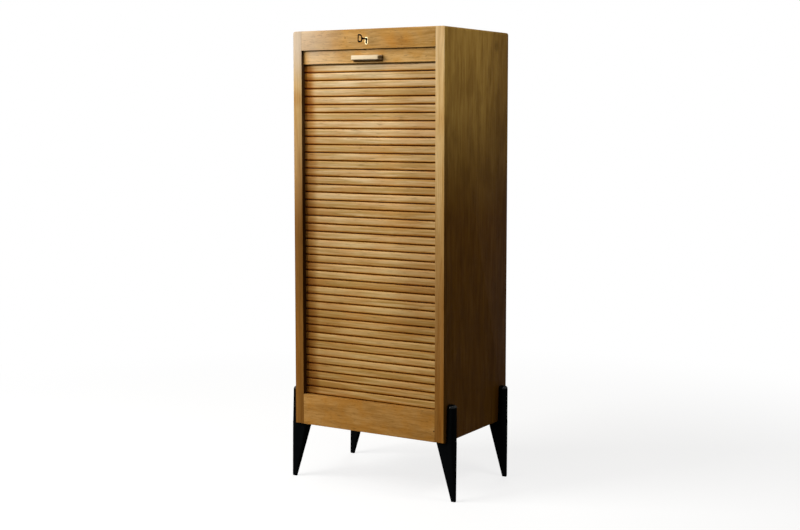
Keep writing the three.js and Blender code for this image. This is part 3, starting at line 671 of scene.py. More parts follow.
def slat_oak(colours):
    """The slats: blotched, darker along their grooves and lower parts with grime and painted shade, with a
    painted shadow of the stile at their left ends, and a painted highlight with some wear along their upper
    edges.
    """
    wood = Oak("oak_slat", "level", colours, "slat", contrast=1.3, fleck=0.38)
    wood.tint(wood.figure["Blotches"], "slat_blotch", 0.34, "MIX")
    wood.tint(wood.tone("slat_down"), "slat_low")
    wood.tint(wood.tones("slat_left", "under_top"), "slat_shade", 0.50)
    # Painted light on the slats' right half above the middle
    wood.tint(wood.tones("slat_right_half", "over_middle"), "rubbed_and_lit", 0.34, "DODGE")
    wood.tint(wood.tones("slat_right", "over_lowest"), "slat_shade", 0.65)
    # Darker left ends: patina and the painted shadow of the left stile
    wood.tint(wood.tone("slat_end"), "slat_end")
    # Painted shadow of the left stile beside the lower slats' ends
    wood.tint(wood.tones("slat_beside_end", "under_middle"), "end_shade", 0.55)
    # Painted light at the slats' very left ends
    wood.tint(wood.tone("slat_tip"), "rubbed_and_lit", mode="DODGE")
    wood.tint(wood.tones("slat_stained_end", "upper_ends"), "end_stain")
    # Painted shade over the lower part of each slat
    wood.tint(wood.rise("stained"), "golden_stain_and_shade")
    # Painted shade along both edges of each groove
    wood.tint(wood.rise("lower_lip"), "groove")
    wood.tint(wood.rise("upper_lip"), "groove")
    # Painted highlight along each slat's upper edge, with some wear
    wood.tint(wood.rise("rubbed_and_lit"), "rubbed_and_lit", 0.70, "DODGE")
    # Grime and painted shade in the grooves, lighter away from the right end and more so towards the top
    less = calc(wood.tree, "MULTIPLY_ADD", wood.tone("upper_grooves"), -0.28, -0.20)
    groove_grime_and_shade = calc(wood.tree, "MULTIPLY_ADD", wood.tone("lighter_grooves"), less, 0.88)
    wood.darken(wood.times(wood.rise("groove_grime_and_shade"), groove_grime_and_shade))
    wood.tint(wood.tone("upper_slats"), "slat_shade", 0.12)
    # Painted shadow of the lead rail on the first slat's top
    wood.darken(wood.tone("under_lead"), 0.94)
    return wood.done(shine=0.38, coat=0.08)


def side_oak(colours):
    """The side veneer: olive brown at the top, very dark from half way down."""
    wood = Oak("oak_side", "upright_side", colours, "side", contrast=0.6, fleck=0.14, shortness=1.1)
    wood.tint(wood.figure["Blotches"], "side_patch", 0.35)
    wood.tint(wood.tone("side_down"), "side_low")
    wood.darken(wood.spot("side_smudge"), 0.35)
    wood.tint(wood.tone("side_rear"), "side_patch", 0.5)
    return wood.done(shine=0.42, coat=0.02)


def plain_oak(colours, direction):
    """The duller wood that the case is made of inside."""
    wood = Oak("plain_" + direction, direction, colours, "plain", contrast=0.9, fleck=0.2)
    wood.tint(wood.tone("plain_down"), "plain_low")
    return wood.done(shine=0.55, coat=0.06)


def handle_oak(colours):
    """The pale wood of the pull bar, with its end faces darkened by end grain and painted shade."""
    wood = Oak("pull_bar_wood", "level", colours, "handle", contrast=0.8, fleck=0.08)
    # Dark end faces: end grain and painted shade
    wood.tint(attribute(wood.tree, "end"), "end_grain_and_shade", 0.85, "MIX")
    return wood.done(shine=0.28, coat=0.20)


# Other finishes


def lacquer_material(colours):
    """Black lacquer with a faint orange peel and rubbed edges."""
    material, tree, surface, point = new_material("black_lacquer")
    dull = noise(tree, point, scale=28.0, detail=4.0, roughness=0.6)
    dust = calc(tree, "MULTIPLY", between(tree, dull, 0.45, 0.8), 0.35)
    feed(tree, blend(tree, dust, colours.lacquer, colours.dust), surface.inputs["Base Color"])
    feed(tree, between(tree, dull, 0.3, 0.7, start=0.14, end=0.26), surface.inputs["Roughness"])
    surface.inputs["Specular IOR Level"].default_value = 0.0
    coat = calc(tree, "MULTIPLY_ADD", attribute(tree, "edge"), 0.24, 0.010)
    feed(tree, coat, surface.inputs["Coat Weight"])
    surface.inputs["Coat Roughness"].default_value = 0.12
    bump(tree, surface, noise(tree, point, scale=420.0, detail=2.0), depth=0.03 * MM, strength=0.5)
    return material


def metal_material(name, bright, stain, roughness, tarnish):
    """Metal with stains and fine scratches."""
    material, tree, surface, point = new_material(name)
    marks = use_group(tree, shared("tarnish", tarnish_group), Point=point, Amount=tarnish)
    stained = calc(tree, "MULTIPLY", marks["Stain"], 0.8)
    feed(tree, blend(tree, stained, bright, stain), surface.inputs["Base Color"])
    rough = calc(tree, "MULTIPLY_ADD", marks["Stain"], 0.22, roughness)
    feed(tree, calc(tree, "MULTIPLY_ADD", marks["Scratches"], 0.08, rough), surface.inputs["Roughness"])
    surface.inputs["Metallic"].default_value = 1.0
    bump(tree, surface, marks["Scratches"], depth=0.02 * MM, strength=0.5)
    return material


# Radians in a metre, for threads 1 mm apart
THREAD_RATE = 6283.0


def canvas_material(colours):
    """Plain woven cloth, about ten threads to the centimetre."""
    material, tree, surface, point = new_material("canvas")
    along = split(tree, point)
    threads = [calc(tree, "SINE", calc(tree, "MULTIPLY", along[axis], THREAD_RATE)) for axis in "XZ"]
    weave = calc(tree, "MULTIPLY", *threads)
    soiled = calc(tree, "MULTIPLY", noise(tree, point, scale=14.0, detail=4.0), 0.55)
    dark = calc(tree, "MULTIPLY_ADD", weave, 0.10, soiled, clamp=True)
    feed(tree, blend(tree, dark, colours.canvas, colours.canvas_soil), surface.inputs["Base Color"])
    surface.inputs["Roughness"].default_value = 0.92
    surface.inputs["Specular IOR Level"].default_value = 0.15
    bump(tree, surface, weave, depth=0.15 * MM, strength=0.8)
    return material


FINISHES = {
    "oak_stile": stile_oak,
    "oak_rail": rail_oak,
    "oak_slat": slat_oak,
    "oak_side": side_oak,
    "plain_upright": lambda colours: plain_oak(colours, "upright"),
    "plain_flat": lambda colours: plain_oak(colours, "flat"),
    "handle_wood": handle_oak,
    "canvas": canvas_material,
    "black_lacquer": lacquer_material,
    "brass": lambda colours: metal_material(
        "brass", colours.brass, colours.brass_stain, roughness=0.40, tarnish=0.2
    ),
    "key_metal": lambda colours: metal_material(
        "key_metal", colours.key_worn, colours.key_metal, roughness=0.42, tarnish=1.6
    ),
    "steel": lambda colours: metal_material(
        "steel", colours.steel, colours.steel_stain, roughness=0.32, tarnish=0.4
    ),
}
MADE = {}


def finish(name):
    """The finish of that name, made once from the user's colours."""
    if name not in MADE:
        MADE[name] = FINISHES[name](bpy.context.scene.cabinet_colours)
    return MADE[name]


# Meshes

# How near counts as the same place, when edges are picked and when corners are joined
NEAR = 0.05 * MM
WELD = 0.001 * MM
FLAT_ANGLE = math.radians(0.5)
SHARP_ANGLE = math.radians(30)


def loft(bm, rings):
    """Skins a stack of rings of points, each anticlockwise about the stack's direction."""
    skin(bm, [[bm.verts.new(point) for point in ring] for ring in rings])


def band(bm, low, high):
    """The faces between two closed rows of corners."""
    return [bm.faces.new(corners) for corners in zip(low, low[1:] + low[:1], high[1:] + high[:1], high)]


def skin(bm, rows):
    """The faces between rows of corners, with a face over each end."""
    for low, high in zip(rows, rows[1:]):
        band(bm, low, high)
    bm.faces.new(reversed(rows[0]))
    bm.faces.new(rows[-1])


def add_block(bm, low, high):
    """Adds a block between two corners, and gives its corners."""
    verts = bmesh.ops.create_cube(bm, size=1.0)["verts"]
    size = high - low
    middle = (low + high) / 2
    for vert in verts:
        vert.co = Vector(v * s + m for v, s, m in zip(vert.co, size, middle))
    return verts


def block(low, high):
    bm = bmesh.new()
    add_block(bm, low, high)
    return bm


def node_mesh(node):
    """A node's own shape, with its flat triangles joined into faces."""
    bm = bmesh.new()
    bm.from_mesh(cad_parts[node].data)
    bmesh.ops.remove_doubles(bm, verts=bm.verts, dist=WELD)
    bmesh.ops.dissolve_limit(bm, angle_limit=FLAT_ANGLE, verts=bm.verts, edges=bm.edges)
    return bm


def turned(bm, angle, axis, start):
    """Turns a mesh about an axis through the origin, and moves it so that it starts at a place."""
    turn = Matrix.Translation(start) @ Matrix.Rotation(angle, 4, axis)
    bmesh.ops.transform(bm, matrix=turn, verts=bm.verts)
    return bm


def quarter(steps, first=0):
    """The sine and the cosine at each step of a quarter turn."""
    for k in range(first, steps + 1):
        angle = k / steps * math.pi / 2
        yield math.sin(angle), math.cos(angle)


def edge_at(x=None, y=None, z=None):
    """A test that picks the edges lying at the places given."""
    wanted = [(axis, value) for axis, value in enumerate((x, y, z)) if value is not None]

    def lies_there(edge):
        return all(abs(vert.co[axis] - value) < NEAR for vert in edge.verts for axis, value in wanted)

    return lies_there


def ease(bm, chosen, radius, steps=3):
    """Rounds the sharp edges that the test picks, and marks the new faces as edge wear."""
    layer = bm.faces.layers.float.get("edge") or bm.faces.layers.float.new("edge")
    edges = [e for e in bm.edges if e.is_manifold and e.calc_face_angle(0) > SHARP_ANGLE and chosen(e)]
    if not edges:
        raise RuntimeError("there is no edge to ease")
    made = bmesh.ops.bevel(
        bm, geom=edges, offset=radius, offset_type="OFFSET", segments=steps, profile=0.5,
        affect="EDGES", clamp_overlap=True,
    )
    for face in made["faces"]:
        face[layer] = 1.0


def smooth(bm, limit):
    """Smooth shading but for the edges sharper than the limit, in degrees."""
    for face in bm.faces:
        face.smooth = True
    for edge in bm.edges:
        edge.smooth = edge.is_manifold and edge.calc_face_angle(0) < math.radians(limit)


def mark(bm, name, value, chosen=None):
    """Writes a value that the materials read onto all faces, or those that the test picks."""
    layer = bm.faces.layers.float.get(name) or bm.faces.layers.float.new(name)
    for face in bm.faces:
        if chosen is None or chosen(face):
            face[layer] = value


def shade_underside(bm, dirt=0.8, slope=-0.4):
    """Marks the faces that look down as dark, for painted shade under a part."""
    bm.normal_update()
    mark(bm, "dirt", dirt, lambda face: face.normal.z < slope)


def new_object(name, bm):
    """Puts a mesh under edit into the scene, and uses it up."""
    mesh = bpy.data.meshes.new(name)
    bm.to_mesh(mesh)
    bm.free()
    thing = bpy.data.objects.new(name, mesh)
    bpy.context.scene.collection.objects.link(thing)
    return thing


def new_piece(name, bm, finishes, body, node, plank=None, tone=0.0, limit=35.0):
    """Turns a finished mesh into a piece that stands for a node and rides on its body."""
    if plank is not None:
        mark(bm, "plank", plank)
        mark(bm, "shade", tone)
    bmesh.ops.recalc_face_normals(bm, faces=bm.faces)
    smooth(bm, limit)
    piece = new_object(name, bm)
    for name_of_finish in finishes:
        piece.data.materials.append(finish(name_of_finish))
    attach(piece, body)
    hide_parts(node)
    return piece


def dress(name_of_finish, *nodes):
    """Gives CAD nodes that stay their finish."""
    for node in nodes:
        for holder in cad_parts[node].material_slots:
            holder.material = finish(name_of_finish)


def combined(first, others, operation):
    """One solid joined with or cut by others. All are given as meshes under edit, and used up."""
    base = new_object("scratch", first)
    tools = [new_object("scratch", bm) for bm in others]
    for tool in tools:
        step = base.modifiers.new("solid", "BOOLEAN")
        step.operation = operation
        step.solver = "EXACT"
        step.object = tool
    graph = bpy.context.evaluated_depsgraph_get()
    result = bmesh.new()
    result.from_mesh(base.evaluated_get(graph).to_mesh())
    base.evaluated_get(graph).to_mesh_clear()
    for thing in [base, *tools]:
        mesh = thing.data
        bpy.data.objects.remove(thing)
        bpy.data.meshes.remove(mesh)
    return result


def rounded_rectangle(x0, x1, y0, y1, radius, z, steps):
    """Points of a rounded rectangle, anticlockwise from above."""
    points = []
    corners = [(x1, y1, -1, -1), (x0, y1, 1, -1), (x0, y0, 1, 1), (x1, y0, -1, 1)]
    for n, (cx, cy, sx, sy) in enumerate(corners):
        for k in range(steps + 1):
            angle = (n + k / steps) * math.pi / 2
            x = cx + sx * radius + radius * math.cos(angle)
            y = cy + sy * radius + radius * math.sin(angle)
            points.append(Vector((x, y, z)))
    return points


def cylinder(radius, reach, facets=32, easing=0.0):
    """A round bar along Z from 0, with eased ends."""
    profile = [(radius, 0), (radius, reach)]
    if easing > 0:
        profile = [(radius - easing, 0), (radius, easing), (radius, reach - easing), (radius - easing, reach)]
    bm = bmesh.new()
    angles = [math.tau * n / facets for n in range(facets)]
    loft(bm, [[Vector((r * math.cos(a), r * math.sin(a), z)) for a in angles] for r, z in profile])
    return bm


# Case

# Where each board lies in the figure of the wood, so that no two look alike
PLANKS = {"stile": 1.3, "side": 2.7, "top_rail": 3.9, "bottom_rail": 5.2, "lead_rail": 7.7, "pull_bar": 0.6}
SHELF_PLANK = 0.2
SHELF_PLANK_STEP = 0.37
# How much paler or deeper a rail is than its figure alone would make it
TONE_SHIFTS = {"top_rail": -0.10, "lead_rail": 0.24}
INNER_FACE_SHADE = 0.80
# How many radii round the case's rounded corner and round the nail hole are still counted with them
CORNER_MARGIN = 1.1
HOLE_MARGIN = 1.2
# How squarely a stile's face has to look inward to take painted shade, and outward to be veneered
INWARD = 0.98
OUTWARD = 0.6


def make_stiles(sizes):
    """Two front stiles, each round at its outer upper corner, with the side's veneer on its outer face."""
    for side, word in SIDES:
        node = "front_stile_" + word
        low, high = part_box(node)
        inner, outer = (low.x, high.x) if side > 0 else (high.x, low.x)
        bm = block(low, high)
        ease(bm, edge_at(x=outer, z=high.z), sizes.corner_round, sizes.steps)
        front = edge_at(y=low.y)
        outward = outer * side - sizes.corner_round * CORNER_MARGIN

        def outer_edge(edge):
            return front(edge) and max(vert.co.x * side for vert in edge.verts) > outward

        ease(bm, outer_edge, sizes.outer_round, sizes.steps)
        ease(bm, edge_at(x=inner, y=low.y), sizes.edge_easing)
        bm.normal_update()
        # Painted shade on the stile's inner face
        mark(bm, "dirt", INNER_FACE_SHADE, lambda face: face.normal.x * side < -INWARD)
        mark(bm, "dark_from", sizes.dark_from_left if side < 0 else sizes.dark_from_right)
        for face in bm.faces:
            if face.normal.x * side > OUTWARD:
                face.material_index = 1
        finishes = ["oak_stile", "oak_side"]
        new_piece("stile_" + word, bm, finishes, "root", node, PLANKS["stile"] + side)


def make_sides(sizes):
    for side, word in SIDES:
        node = "side_panel_" + word
        low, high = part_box(node)
        outer = high.x if side > 0 else low.x
        bm = node_mesh(node)
        ease(bm, edge_at(x=outer, y=high.y), sizes.edge_easing * 2)
        ease(bm, edge_at(x=outer, z=low.z), sizes.edge_easing * 2)
        plank = PLANKS["side"] + side
        new_piece("side_" + word, bm, ["oak_side"], "root", node, plank, limit=25.0)


def ease_ends(bm, ends, front, radius):
    """Eases a rail's upright front edges."""
    for end in ends:
        ease(bm, edge_at(x=end, y=front), radius)


def new_rail(name, bm, body, node):
    """A rail whose underside is darkened by painted shade, with a tone of its own."""
    shade_underside(bm)
    plank, tone = PLANKS[node], TONE_SHIFTS[node]
    new_piece(name, bm, ["oak_rail"], body, node, plank, tone, limit=25.0)


def make_top_rail(sizes):
    low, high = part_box("top_rail")
    bm = node_mesh("top_rail")
    ease(bm, edge_at(y=low.y, z=low.z), sizes.edge_easing * 2)
    ease_ends(bm, (low.x, high.x), low.y, sizes.edge_easing / 2)
    new_rail("rail_top", bm, "root", "top_rail")


def make_bottom_rail(sizes):
    """The bottom rail, with a nail hole near its right end that is darkened inside by grime and painted
    shade.
    """
    low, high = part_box("bottom_rail")
    bm = block(low, high)
    for height in (high.z, low.z):
        ease(bm, edge_at(y=low.y, z=height), sizes.edge_easing * 2)
    ease_ends(bm, (low.x, high.x), low.y, sizes.edge_easing / 2)
    bottom = Vector((high.x - sizes.nail_inset, low.y + sizes.nail_depth, low.z + sizes.nail_rise))
    hole = turned(cylinder(sizes.nail_radius, sizes.nail_depth * 2, 16), math.pi / 2, "X", bottom)
    bm = combined(bm, [hole], "DIFFERENCE")
    inside = low.y + NEAR
    reach = sizes.nail_radius * HOLE_MARGIN

    def in_hole(face):
        middle = face.calc_center_median()
        return middle.y > inside and (middle - bottom).xz.length < reach

    # Grime and painted shade inside the nail hole
    mark(bm, "dirt", 1.0, in_hole)
    new_piece("rail_bottom", bm, ["oak_rail"], "root", "bottom_rail", PLANKS["bottom_rail"])


def make_shelves(sizes):
    for n, node in enumerate(SHELF_NODES + ["inner_floor"]):
        low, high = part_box(node)
        bm = node_mesh(node)
        for height in (low.z, high.z):
            ease(bm, edge_at(y=low.y, z=height), sizes.edge_easing * 2)
        plank = SHELF_PLANK + SHELF_PLANK_STEP * n
        new_piece("board_" + node, bm, ["plain_flat"], "root", node, plank)


# Legs

# The rings of the shoulder's upper edge: how far each draws in and lies under the case, as shares of the step
SHOULDER_EDGE = ((0.02, 1.0), (0.35, 0.35), (1.0, 0.0))
# How high the part on the side starts over the shoulder, as a share of the step
UPPER_FOOT = 0.1
# The slopes of the crown that are worn, as the normal's rise
WORN_SLOPES = (0.25, 0.92)


def leg_rings(legs, side, middle, steps):
    """Rings of one leg from its tip up: the taper, the shoulder under the case and the part on the side."""
    outer = CASE_HALF + legs.reach
    inner = outer - legs.shoulder_width
    half = legs.shoulder_depth / 2
    top = CASE_LOW - legs.gap
    tip_x = CASE_HALF + legs.tip_reach - legs.tip_width / 2
    tip_y = middle - legs.lean
    step = legs.upper_inset
    upper_outer = outer - step
    upper_rear = middle + half - step
    crown = top + legs.gap + legs.upper_height - legs.crown_height

    def ring(x0, x1, y0, y1, radius, z):
        points = rounded_rectangle(x0, x1, y0, y1, radius, z, steps)
        return points if side > 0 else [Vector((-p.x, p.y, p.z)) for p in reversed(points)]

    def tip(inset, z):
        across = legs.tip_width / 2 - inset
        deep = legs.tip_depth / 2 - inset
        return ring(tip_x - across, tip_x + across, tip_y - deep, tip_y + deep, legs.tip_round - inset, z)

    def shoulder(inset, z):
        return ring(
            inner + inset, outer - inset, middle - half + inset, middle + half - inset,
            legs.corner_round - inset, z,
        )

    def upper(deep, inset, z):
        return ring(
            CASE_HALF + legs.gap, upper_outer - inset, upper_rear - deep + inset, upper_rear - inset,
            legs.corner_round - step - inset, z,
        )

    rings = []
    for sine, cosine in quarter(steps):
        rings.append(tip(legs.tip_end_inset * (1 - sine), legs.tip_end_height * (1 - cosine)))
    for inset, drop in SHOULDER_EDGE:
        rings.append(shoulder(step * inset, top - step * drop))
    rings.append(upper(legs.shoulder_depth - 2 * step, 0.0, top + step * UPPER_FOOT))
    rings.append(upper(legs.upper_depth, 0.0, crown))
    for sine, cosine in quarter(steps, 1):
        inset = legs.crown_inset * (1 - cosine)
        rings.append(upper(legs.upper_depth, inset, crown + legs.crown_height * sine))
    return rings


def make_legs(legs, steps):
    """The four legs, with wear on the slopes of their crowns."""
    low_slope, high_slope = WORN_SLOPES

    def worn(face):
        return low_slope < face.normal.z < high_slope and face.calc_center_median().z > CASE_LOW

    for node in LEG_NODES:
        side = 1 if node.endswith("right") else -1
        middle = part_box(node)[1].y - legs.shoulder_depth / 2
        bm = bmesh.new()
        loft(bm, leg_rings(legs, side, middle, steps))
        bm.normal_update()
        mark(bm, "edge", 1.0, worn)
        name = node.replace("leg_", "foot_")
        new_piece(name, bm, ["black_lacquer"], "root", node, limit=40.0)


# Curtain

SLAT_SEED = 410
SLAT_STATIONS = 24
# The waves of a slat's edge: how many, their rates in radians a metre, and their shares of the height
WAVES = 3
WAVE_RATES = (6, 18)
WAVE_SHARES = (0.2, 0.5)
# Where a slat may lie in the figure of the wood, and how deep or pale it may be
SLAT_PLANKS = (0, 9)
SLAT_TONES = (-0.40, 0.40)
# The canvas lies this far behind the wood, so that their faces don't fight
GLUE_GAP = 0.02 * MM


def slat_section(low, high, sizes):
    """A slat's outline in Y and Z, anticlockwise about X, with how high on the face each point counts."""
    groove = (sizes.groove - sizes.slat_gap) / 2
    top = high.z - groove
    base = low.z + groove
    front = low.y + sizes.slat_swell
    upper, lower = sizes.slat_top_round, sizes.slat_low_round
    points = [(high.y, low.z, 0.0), (high.y, high.z, 1.0)]

    def add(y, z):
        points.append((y, z, (z - base) / (top - base)))

    for sine, cosine in quarter(sizes.steps):
        add(front + upper * (1 - sine), top - upper * (1 - cosine))
    for k in range(1, sizes.steps):
        share = k / sizes.steps
        swell = sizes.slat_swell * (2 * share - 1) ** 2
        add(low.y + swell, top - upper - (top - base - upper - lower) * share)
    for sine, cosine in quarter(sizes.steps):
        add(front + lower * (1 - cosine), base + lower * (1 - sine))
    return points


def wander(draw, reach):
    """A slow seeded wave along X, at most reach high."""
    waves = [
        (draw.uniform(*WAVE_RATES), draw.uniform(0, math.tau), draw.uniform(*WAVE_SHARES))
        for _ in range(WAVES)
    ]
    total = sum(share for _, _, share in waves)
    return lambda x: reach * sum(share * math.sin(rate * x + phase) for rate, phase, share in waves) / total


def add_slat(bm, low, high, sizes, number):
    """One slat between two corners, its long edges straying a little, with a figure and tone of its own."""
    draw = random.Random(SLAT_SEED + number)
    upper = wander(draw, sizes.slat_wander)
    lower = wander(draw, sizes.slat_wander)
    section = slat_section(low, high, sizes)
    rises = bm.verts.layers.float["rise"]
    first = len(bm.faces)
    rows = []
    for n in range(SLAT_STATIONS + 1):
        x = low.x + (high.x - low.x) * n / SLAT_STATIONS
        row = []
        for y, z, share in section:
            vert = bm.verts.new((x, y, z - abs(upper(x)) * share + abs(lower(x)) * (1 - share)))
            vert[rises] = share
            row.append(vert)
        rows.append(row)
    skin(bm, rows)
    bm.faces.ensure_lookup_table()
    values = {"plank": draw.uniform(*SLAT_PLANKS), "shade": draw.uniform(*SLAT_TONES)}
    for name, value in values.items():
        layer = bm.faces.layers.float[name]
        for face in bm.faces[first:]:
            face[layer] = value


def make_slats(sizes):
    """The slats, two to a strip of canvas, each pair on a body of its own."""
    for pair, node in enumerate(SLAT_NODES):
        low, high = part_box(node)
        pitch = (high.z - low.z + sizes.slat_gap) / 2
        wood_back = high.y - sizes.canvas_thickness
        bm = bmesh.new()
        bm.faces.layers.float.new("plank")
        bm.faces.layers.float.new("shade")
        bm.verts.layers.float.new("rise")
        for n in range(2):
            top = high.z - n * pitch
            corner = Vector((low.x, low.y, top - pitch + sizes.slat_gap))
            add_slat(bm, corner, Vector((high.x, wood_back, top)), sizes, pair * 2 + n)
        for vert in add_block(bm, Vector((low.x, wood_back + GLUE_GAP, low.z)), high):
            for face in vert.link_faces:
                face.material_index = 1
        number = node[-2:]
        finishes = ["oak_slat", "canvas"]
        piece = new_piece("slats_pair_" + number, bm, finishes, "slats_" + number, node)
        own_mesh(piece)


def make_lead_rail(sizes):
    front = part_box("lead_rail")[0].y
    bm = node_mesh("lead_rail")
    face_half = max(vert.co.x for vert in bm.verts if abs(vert.co.y - front) < NEAR)
    ease_ends(bm, (-face_half, face_half), front, sizes.edge_easing)
    # Flags the lead rail for the painted shadow round the pull bar and the stain at its left end
    mark(bm, "soiled", 1.0)
    new_rail("rail_lead", bm, "shutter", "lead_rail")


def bar_ring(sizes, inset, z):
    """A section of the pull bar seen from above, round at its two front corners, anticlockwise."""
    x0, x1, y0 = BAR_LOW.x + inset, BAR_HIGH.x - inset, BAR_LOW.y + inset
    corner = sizes.handle_round - inset
    points = [(x1, BAR_HIGH.y), (x0, BAR_HIGH.y)]
    for sine, cosine in quarter(sizes.steps):
        points.append((x0 + corner * (1 - cosine), y0 + corner * (1 - sine)))
    for sine, cosine in quarter(sizes.steps):
        points.append((x1 - corner * (1 - sine), y0 + corner * (1 - cosine)))
    return [Vector((x, y, z)) for x, y in points]


def make_handle(sizes):
    """The pull bar, with end faces darkened by end grain and painted shade, an underside darkened by grime
    and painted shade, and a finger cove cut into it.
    """
    soft = sizes.handle_easing
    rings = []
    for sine, cosine in quarter(sizes.steps):
        rings.append(bar_ring(sizes, soft * (1 - sine), BAR_LOW.z + soft * (1 - cosine)))
    for sine, cosine in quarter(sizes.steps):
        rings.append(bar_ring(sizes, soft * (1 - cosine), BAR_HIGH.z - soft * (1 - sine)))
    bar = bmesh.new()
    loft(bar, rings)
    cove = cylinder(sizes.cove_radius, sizes.cove_length, easing=sizes.cove_end_round)
    start = Vector((-sizes.cove_length / 2, BAR_LOW.y + sizes.cove_reach, BAR_LOW.z))
    bm = combined(bar, [turned(cove, math.pi / 2, "Y", start)], "DIFFERENCE")
    flat = (BAR_HIGH.z - BAR_LOW.z) / 2 - soft
    height = (BAR_HIGH.z + BAR_LOW.z) / 2

    def at_end(face):
        middle = face.calc_center_median()
        return abs(middle.x) > BAR_HIGH.x - sizes.end_grain_and_shade and abs(middle.z - height) < flat

    # End faces marked for end grain and painted shade
    mark(bm, "end", 1.0, at_end)
    # Grime and painted shade under the pull bar
    shade_underside(bm, dirt=0.85, slope=-0.35)
    new_piece("pull_bar", bm, ["handle_wood"], "shutter", "pull_handle", PLANKS["pull_bar"])


# Lock and key

# Facets round the bow's wire
WIRE_SIDES = 16


def keyhole_points(keys, grow, y, steps):
    """The keyhole's outline, a round hole over a slot, widened by grow, at depth y."""
    axis = CASE_TOP - keys.axis_drop
    radius = keys.hole_radius + grow
    half = keys.slot_width / 2 + grow
    low = axis - keys.slot_drop + keys.slot_width / 2
    meet = math.asin(half / radius)
    points = []
    count = steps * 4
    for k in range(count + 1):
        angle = meet - math.pi / 2 + (math.tau - 2 * meet) * k / count
        points.append(Vector((radius * math.cos(angle), y, axis + radius * math.sin(angle))))
    for k in range(count + 1):
        angle = math.pi * (1 + k / count)
        points.append(Vector((half * math.cos(angle), y, low + half * math.sin(angle))))
    return points


def make_liner(keys, steps):
    """The keyhole liner, a ring with a rounded front, whose inner side takes the dark key metal as painted
    shade.
    """
    low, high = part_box("keyhole_liner")
    lip = keys.liner_rim / 2
    shoulder = low.y + lip / 2
    profile = [(0, high.y), (0, shoulder)]
    for k in range(1, steps * 2):
        angle = math.pi * k / (steps * 2)
        profile.append((lip * (1 - math.cos(angle)), low.y + lip / 2 * (1 - math.sin(angle))))
    profile += [(keys.liner_rim, shoulder), (keys.liner_rim, high.y)]
    bm = bmesh.new()
    rows = [[bm.verts.new(point) for point in keyhole_points(keys, grow, y, steps)] for grow, y in profile]
    # The inner half of the ring takes the dark key metal, as painted shade
    for index, (first, second) in enumerate(zip(rows, rows[1:] + rows[:1])):
        for face in band(bm, first, second):
            face.material_index = 1 if index < steps else 0
    new_piece("keyhole_ring", bm, ["brass", "key_metal"], "root", "keyhole_liner", limit=50.0)


def bow_path(keys, reach, count):
    """The middle line of the D-shaped bow: flat outside with round corners, and swelling inside."""
    axis = CASE_TOP - keys.axis_drop
    inset = keys.wire / 2
    far = reach + inset
    near = reach + keys.bow_width - inset
    half = keys.bow_height / 2 - inset
    corner = keys.bow_corner
    start = far + corner
    points = []

    def add_corner(z, first):
        for k in range(count):
            angle = first + math.pi / 2 * k / count
            points.append((start + corner * math.cos(angle), z + corner * math.sin(angle)))

    for k in range(count):
        points.append((far, axis + (half - corner) * (1 - 2 * k / count)))
    add_corner(axis - half + corner, math.pi)
    for k in range(count * 3):
        angle = -math.pi / 2 + math.pi * k / (count * 3)
        swell = max(math.cos(angle), 0.0) ** keys.bow_squareness
        rise = math.copysign(abs(math.sin(angle)) ** keys.bow_squareness, math.sin(angle))
        points.append((start + (near - start) * swell, axis + half * rise))
    add_corner(axis + half - corner, math.pi / 2)
    return [Vector((0, y, z)) for y, z in points]


def ring_tube(path, half_thickness, half_wire):
    """A closed tube round a flat path in the YZ plane, thinner across X than along the path's plane."""
    bm = bmesh.new()
    sideways = Vector((1, 0, 0))
    rows = []
    for n, point in enumerate(path):
        tangent = (path[(n + 1) % len(path)] - path[n - 1]).normalized()
        outward = tangent.cross(sideways)
        row = []
        for k in range(WIRE_SIDES):
            angle = math.tau * k / WIRE_SIDES
            offset = sideways * half_thickness * math.cos(angle) + outward * half_wire * math.sin(angle)
            row.append(bm.verts.new(point + offset))
        rows.append(row)
    for first, second in zip(rows, rows[1:] + rows[:1]):
        band(bm, first, second)
    bmesh.ops.recalc_face_normals(bm, faces=bm.faces)
    return bm


def make_key(keys, steps):
    """The key in one piece: its bow, a collar, the shank and the bit, along its axis in Y."""
    low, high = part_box("key")
    axis = CASE_TOP - keys.axis_drop
    bow = ring_tube(bow_path(keys, low.y, steps * 2), keys.bow_thickness / 2, keys.wire / 2)
    bow_end = low.y + keys.bow_width
    shank_start = bow_end - keys.wire / 2
    shank = cylinder(keys.shank_radius, high.y - shank_start, easing=keys.shank_easing)
    turned(shank, -math.pi / 2, "X", (0, shank_start, axis))
    collar = cylinder(keys.collar_radius, keys.collar_length, easing=keys.collar_easing)
    turned(collar, -math.pi / 2, "X", (0, bow_end, axis))
    half = keys.bit_thickness / 2
    bit = block(Vector((-half, high.y - keys.bit_length, low.z)), Vector((half, high.y, axis)))
    ease(bit, lambda edge: True, keys.bit_easing, 2)
    bm = combined(bow, [shank, collar, bit], "UNION")
    new_piece("key_in_lock", bm, ["key_metal"], "key", "key", limit=40.0)


# Stage

WHITE = (1, 1, 1, 1)
# Each lamp: where it hangs, what it aims at, its side in metres, and the property that holds its power
LAMPS = {
    "window_left": ((-2.1, -2.3, 1.95), (0, 0, 0.85), 2.2, "key_power"),
    "lamp_over": ((-0.3, -1.15, 2.7), (0, -0.1, 0.8), 1.0, "top_power"),
    "lamp_right": ((1.15, -0.1, 1.85), (0.27, 0.05, 1.1), 0.5, "side_power"),
    "lamp_behind": ((-0.9, 2.4, 2.2), (0, 0.2, 0.7), 1.4, "back_power"),
}


def camera_rays(tree):
    """1 where the camera, a reflection or glass looks, and 0 for the light that falls on the object."""
    path = place(tree, "ShaderNodeLightPath").outputs
    mirrored = calc(tree, "MAXIMUM", path["Is Glossy Ray"], path["Is Transmission Ray"])
    return calc(tree, "MAXIMUM", path["Is Camera Ray"], mirrored)


